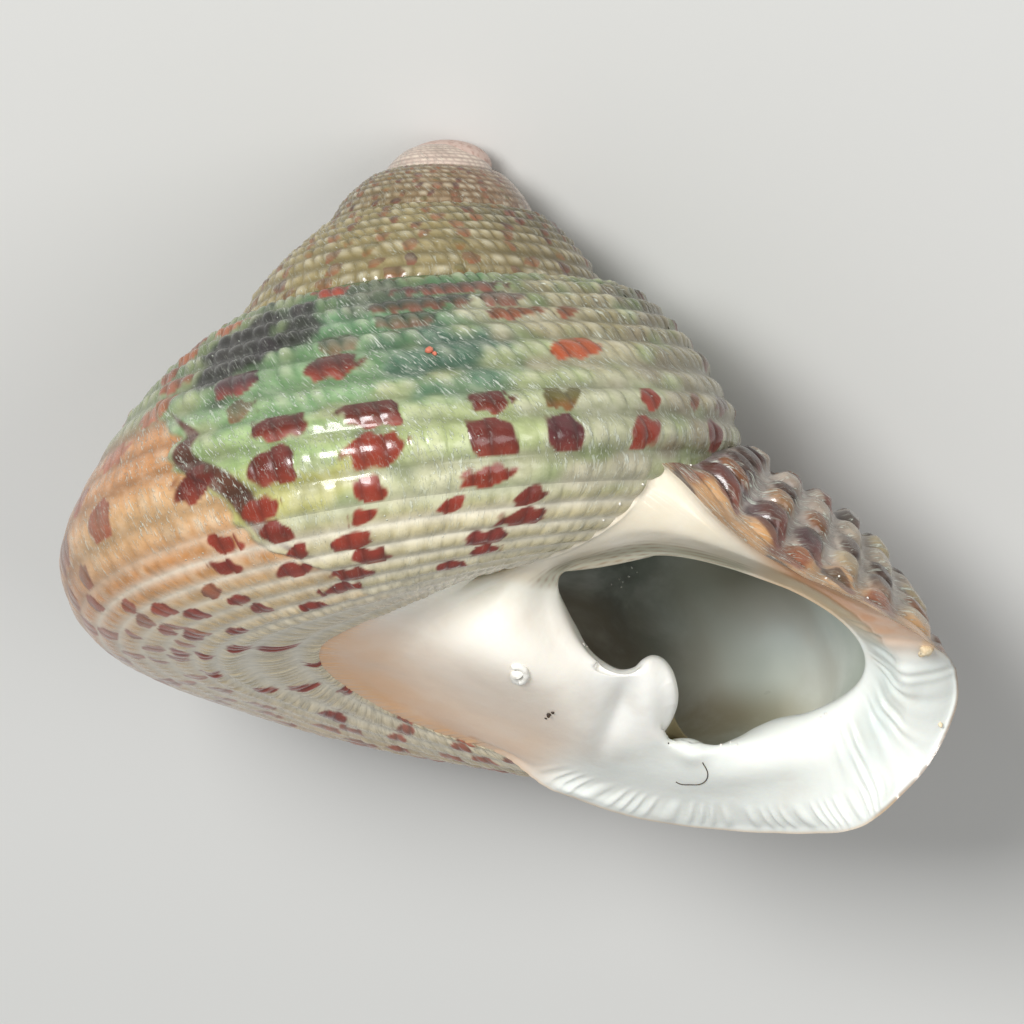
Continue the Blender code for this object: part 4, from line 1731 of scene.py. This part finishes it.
# ---- what the years left on it ----
@dataclass(frozen=True)
class Remains:
    """The worn tip, and the worm tube, grains and fibre that lie on the shell.

    A place is given as in the tilted view: mm to the right of the apex and below it. The piece
    lands on whatever the line of sight meets there.

    Args:
        mouth: the mouth, which gives that view.
        tip: half the tip's length, breadth and height, mm.
        tip_shift: how far the tip's middle lies beside the apex and its top below it, mm.
        tube, fibre: middle of the worm tube's coil and of the fibre's arc.
        tube_radius, tube_coil: radius of the tube and of its coil, mm.
        tube_arc, fibre_arc: where they start and how far they turn, degrees.
        fibre_radius, fibre_thick: radius of the fibre's arc and of the fibre, mm.
        rings: rings along the tube and along the fibre.
        sides: sides of such a ring.
        proud: how far they lie in front of the surface, mm.
        grain_lift: share of a grain's size by which its middle stands out.
        grain_dent, grain_rough: least share of its radius, and how much more a corner may have.
        grain_squash: its proportions.
    """

    mouth: Mouth
    tip: tuple = (1.42, 1.34, 0.80)
    tip_shift: tuple = (0.02, 0.03)
    tube: tuple = (2.28, 16.84)
    tube_radius: float = 0.17
    tube_coil: float = 0.31
    tube_arc: tuple = (-125.0, 400.0)
    fibre: tuple = (7.70, 19.90)
    fibre_radius: float = 0.52
    fibre_thick: float = 0.016
    fibre_arc: tuple = (-35.0, 175.0)
    rings: tuple = (90, 60)
    sides: int = 12
    proud: float = 0.02
    grain_lift: float = 0.15
    grain_dent: float = 0.72
    grain_rough: float = 0.5
    grain_squash: tuple = (1.0, 0.75, 0.6)

    def onto(self, x: float, h: float, pieces: list, proud: float = 0.0) -> Vector:
        """Return where the line of sight at x, h meets the pieces, in frame metres.

        Args:
            x: mm to the right of the apex.
            h: mm below it, in the tilted view.
            pieces: pieces to look for.
            proud: how far in front of the surface, mm.

        Returns:
            The nearest place.
        """
        start = self.mouth.from_view(np.array([[x, h, -60.0], [x, h, -59.0]]))
        start, ahead = (Vector(p) for p in REST.lay(start, worn=False))
        way = (ahead - start).normalized()
        best = None
        for piece in pieces:
            hit, place, _, _ = piece.ray_cast(start, way)
            if hit and (best is None or (place - start).length < (best - start).length):
                best = place
        if best is None:
            raise ValueError(f"nothing at {x}, {h}")
        return best - way * proud * MM

    def cap(self) -> bpy.types.Object:
        """Make the tip, worn to a smooth dome."""
        bm = bmesh.new()
        bmesh.ops.create_uvsphere(bm, u_segments=64, v_segments=32, radius=1.0)
        bmesh.ops.scale(bm, vec=self.tip, verts=bm.verts)
        aside, below = self.tip_shift
        bmesh.ops.translate(bm, vec=(aside, 0.0, -self.tip[2] - below), verts=bm.verts)
        return lay_down(bm, "tip")

    def ribbon(self, name: str, path: Callable, steps: int, radius: Callable) -> bpy.types.Object:
        """Make a round tube along a path over the shell.

        Args:
            name: the piece's name.
            path: place in metres for each share of the way.
            steps: rings along it.
            radius: radius in mm for each share.

        Returns:
            The piece.
        """
        places = [path(i / (steps - 1)) for i in range(steps)]
        bm = bmesh.new()
        rings = []
        for i, place in enumerate(places):
            way = (places[min(i + 1, steps - 1)] - places[max(i - 1, 0)]).normalized()
            turn = way.to_track_quat("Z", "Y").to_matrix().to_4x4()
            turn.translation = place
            made = bmesh.ops.create_circle(bm, segments=self.sides, matrix=turn,
                                           radius=radius(i / (steps - 1)) * MM)
            rings.append(made["verts"])
        for a, b in zip(rings, rings[1:]):
            bmesh.ops.bridge_loops(bm, edges=list({e for v in a + b for e in v.link_edges
                                                   if e.other_vert(v) in (a if v in a else b)}))
        bmesh.ops.holes_fill(bm, edges=[e for e in bm.edges if e.is_boundary],
                             sides=self.sides)
        bmesh.ops.recalc_face_normals(bm, faces=bm.faces)
        return as_piece(bm, name)

    def worm(self, pieces: list) -> bpy.types.Object:
        """Make the small white worm tube, coiled like a comma.

        Args:
            pieces: what it lies on.

        Returns:
            The piece.
        """
        (x, h), (since, sweep) = self.tube, self.tube_arc

        def path(share: float) -> Vector:
            """Return the tube's middle line, a little over one turn inwards."""
            a = math.radians(since + sweep * share)
            reach = self.tube_coil * (1.0 - 0.9 * share)
            return self.onto(x + reach * math.cos(a), h + reach * math.sin(a), pieces,
                             proud=self.proud + 0.03 * share)

        return self.ribbon("worm_tube", path, self.rings[0],
                           lambda share: self.tube_radius * (0.6 + 0.5 * share))

    def thread(self, pieces: list) -> bpy.types.Object:
        """Make the thin dark fibre that lies on the lip in an arc.

        Args:
            pieces: what it lies on.

        Returns:
            The piece.
        """
        (x, h), (since, sweep) = self.fibre, self.fibre_arc

        def path(share: float) -> Vector:
            """Return the fibre's middle line."""
            a = math.radians(since + sweep * share)
            reach = self.fibre_radius * (1.0 + 0.12 * math.sin(3 * a))
            return self.onto(x + reach * math.cos(a), h + reach * math.sin(a), pieces, self.proud)

        return self.ribbon("fibre", path, self.rings[1], lambda share: self.fibre_thick)

    def grains(self, name: str, places: tuple, pieces: list, seed: int) -> bpy.types.Object:
        """Make a few angular grains.

        Args:
            name: the piece's name.
            places: (x, h, size) of each, mm.
            pieces: what they lie on.
            seed: number that sets their shapes.

        Returns:
            The piece.
        """
        bm = bmesh.new()
        for n, (x, h, size) in enumerate(places):
            place = self.onto(x, h, pieces, proud=size * self.grain_lift)
            made = bmesh.ops.create_icosphere(bm, subdivisions=2, radius=size * 0.5 * MM)
            for i, v in enumerate(made["verts"]):
                v.co *= self.grain_dent + self.grain_rough * float(chance(i // 3, n, seed))
            spin = Matrix.Rotation(2.4 * n + seed, 4, Vector((0.4, 0.7, 0.5)))
            squash = Matrix.Diagonal((*self.grain_squash, 1.0))
            bmesh.ops.transform(bm, matrix=Matrix.Translation(place) @ spin @ squash,
                                verts=made["verts"])
        return as_piece(bm, name)


WHITE_GRAINS = (
    (4.32, 15.88, 0.13), (4.42, 15.95, 0.09), (5.55, 13.92, 0.10), (5.66, 14.02, 0.07),
    (5.85, 13.84, 0.08), (5.30, 14.10, 0.06), (5.62, 14.18, 0.09), (6.12, 13.70, 0.06),
    (5.95, 13.55, 0.07), (8.66, 19.08, 0.12), (8.95, 19.0, 0.09), (9.15, 19.06, 0.10),
    (11.94, 18.10, 0.12), (11.80, 18.2, 0.08), (11.78, 13.80, 0.12), (12.2, 13.74, 0.10),
    (13.10, 14.42, 0.10), (6.1, 10.9, 0.10), (5.4, 11.5, 0.12), (4.9, 12.0, 0.09), (7.6, 10.3, 0.11))
SAND_GRAINS = ((14.98, 16.03, 0.62), (14.84, 16.16, 0.30), (15.5, 18.4, 0.20))
DARK_SPECKS = ((3.24, 18.10, 0.24), (3.36, 18.02, 0.14), (3.14, 18.22, 0.10), (7.0, 19.02, 0.06))
CORAL_GRAIN = ((-0.46, 6.80, 0.34), (-0.30, 6.90, 0.20))


# ---- the studio ----
@dataclass(frozen=True)
class Lamp:
    """A soft square lamp that shines on the shell.

    Args:
        name: its name.
        up: how far above the camera's direction it stands, as a share of the way ahead.
        aside: how far to the right of it.
        far: distance, metres.
        size: side, metres.
        watts: power.
    """

    name: str
    up: float
    aside: float
    far: float
    size: float
    watts: float

    def hang(self, way: Vector, middle: Vector) -> None:
        """Hang it in a direction from the middle of the shell.

        Args:
            way: direction towards the lamp.
            middle: middle of the shell, metres.
        """
        data = bpy.data.lights.new(self.name, "AREA")
        data.shape = "SQUARE"
        data.size = self.size
        data.energy = self.watts
        lamp = placed(self.name, data)
        lamp.location = way.normalized() * self.far + middle
        lamp.rotation_euler = way.to_track_quat("Z", "Y").to_euler()


@dataclass(frozen=True)
class Studio:
    """Floor, lamps, world and camera.

    Args:
        look: direction from the shell to the camera, in the shell's axes.
        above: the view's upward direction.
        target: middle of the view, mm to the right of the apex and above it.
        middle: height of the shell's middle over the floor, mm.
        width: width of the view, mm.
        distance: distance of the camera, mm.
        sensor: width of the camera's sensor, mm.
        reach: nearest and farthest that the camera sees, metres.
        floor: screen colour of the floor.
        floor_half: half the floor's side, metres.
        sky: colour of the even light from all round.
        sky_strength: its strength.
        lamps: the lamps.
    """

    look: tuple = (0.0, -0.986, -0.165)
    above: tuple = (0.0, -0.165, 0.986)
    target: tuple = (2.08, -11.75)
    middle: float = 9.0
    width: float = 32.26
    distance: float = 340.0
    sensor: float = 36.0
    reach: tuple = (0.01, 10.0)
    floor: tuple = (206, 206, 203)
    floor_half: float = 3.0
    sky: tuple = (0.98, 0.99, 1.0)
    sky_strength: float = 0.36
    lamps: tuple = (Lamp("key", 0.22, -0.42, 0.35, 0.12, 1.2),
                    Lamp("fill", -0.1, 0.5, 0.4, 0.2, 0.4))

    def camera(self, look: Vector, up: Vector, side: Vector, centre: Vector) -> None:
        """Set the camera up in front of a place.

        Args:
            look: direction from the place to the camera.
            up: the view's upward direction.
            side: its direction to the right.
            centre: the place.
        """
        data = bpy.data.cameras.new("camera")
        data.sensor_width = self.sensor
        data.lens = self.sensor * self.distance / self.width
        data.clip_start, data.clip_end = self.reach
        turn = Matrix((side, up, look)).transposed().to_4x4()
        turn.translation = centre + look * self.distance * MM
        camera = placed("camera", data)
        camera.matrix_world = turn
        bpy.context.scene.camera = camera

    def ground(self) -> None:
        """Make the floor and the even light over it."""
        bm = bmesh.new()
        bmesh.ops.create_grid(bm, x_segments=2, y_segments=2, size=self.floor_half)
        floor = placed("floor", poured(bm, "floor"))
        finish = Graph("floor").finish({"Base Color": paint(*self.floor), "Roughness": 0.85})
        floor.data.materials.append(finish)
        world = bpy.data.worlds.new("studio")
        bpy.context.scene.world = world
        world.use_nodes = True
        sky = world.node_tree.nodes["Background"].inputs
        sky["Color"].default_value = (*self.sky, 1.0)
        sky["Strength"].default_value = self.sky_strength

    def build(self) -> None:
        """Make the floor, the light and the camera."""
        look, above = REST.aim(self.look), REST.aim(self.above)
        up = (above - look * above.dot(look)).normalized()
        side = up.cross(look)
        middle = Vector((0, 0, self.middle)) * MM
        beside, height = self.target
        apex = np.array(REST.apex) + REST.turn @ np.array((beside, 0, 0))
        centre = Vector(apex) * MM + above * (height * MM)
        centre += look * ((middle - centre).dot(look))
        self.camera(look, up, side, centre)
        self.ground()
        for lamp in self.lamps:
            lamp.hang(look + up * lamp.up + side * lamp.aside, middle)
        bpy.context.scene.view_settings.view_transform = "Standard"


def dress(piece: bpy.types.Object, material: bpy.types.Material, replaces: bool = False) -> None:
    """Give a piece its material and fix it to the shell.

    Args:
        piece: the piece.
        material: its material.
        replaces: whether it stands for the plain solid.
    """
    piece.data.materials.clear()
    piece.data.materials.append(material)
    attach(piece, "root")
    if replaces:
        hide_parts("shell")
    log.info("%s: %d faces", piece.name, len(piece.data.polygons))


def main() -> None:
    """Build the shell, its finishes and the studio."""
    logging.basicConfig(level=logging.INFO, format="%(name)s %(message)s")
    whorls = Whorls(blotches=marks())
    outer = BeadedShell().build()
    outside = whorls.build()
    for piece in outside:
        dress(piece, outer, replaces=True)
    mouth = Mouth(whorls)
    band, throat = mouth.build()
    dress(band, Porcelain().build())
    dress(throat, Nacre().build())
    remains = Remains(mouth)
    grounds = [*outside, band, throat]
    bpy.context.view_layer.update()
    chalk, sand, dark, coral = (plain.build() for plain in (CHALK, SAND, DARK, CORAL))
    dress(remains.cap(), WORN.build())
    dress(remains.worm(grounds), chalk)
    dress(remains.thread(grounds), dark)
    for name, places, seed, finish in (
            ("white_grains", WHITE_GRAINS, 3, chalk), ("sand_grains", SAND_GRAINS, 5, sand),
            ("dark_specks", DARK_SPECKS, 8, dark), ("coral_grain", CORAL_GRAIN, 11, coral)):
        dress(remains.grains(name, places, grounds, seed), finish)
    Studio().build()


if __name__ == "__main__":
    main()
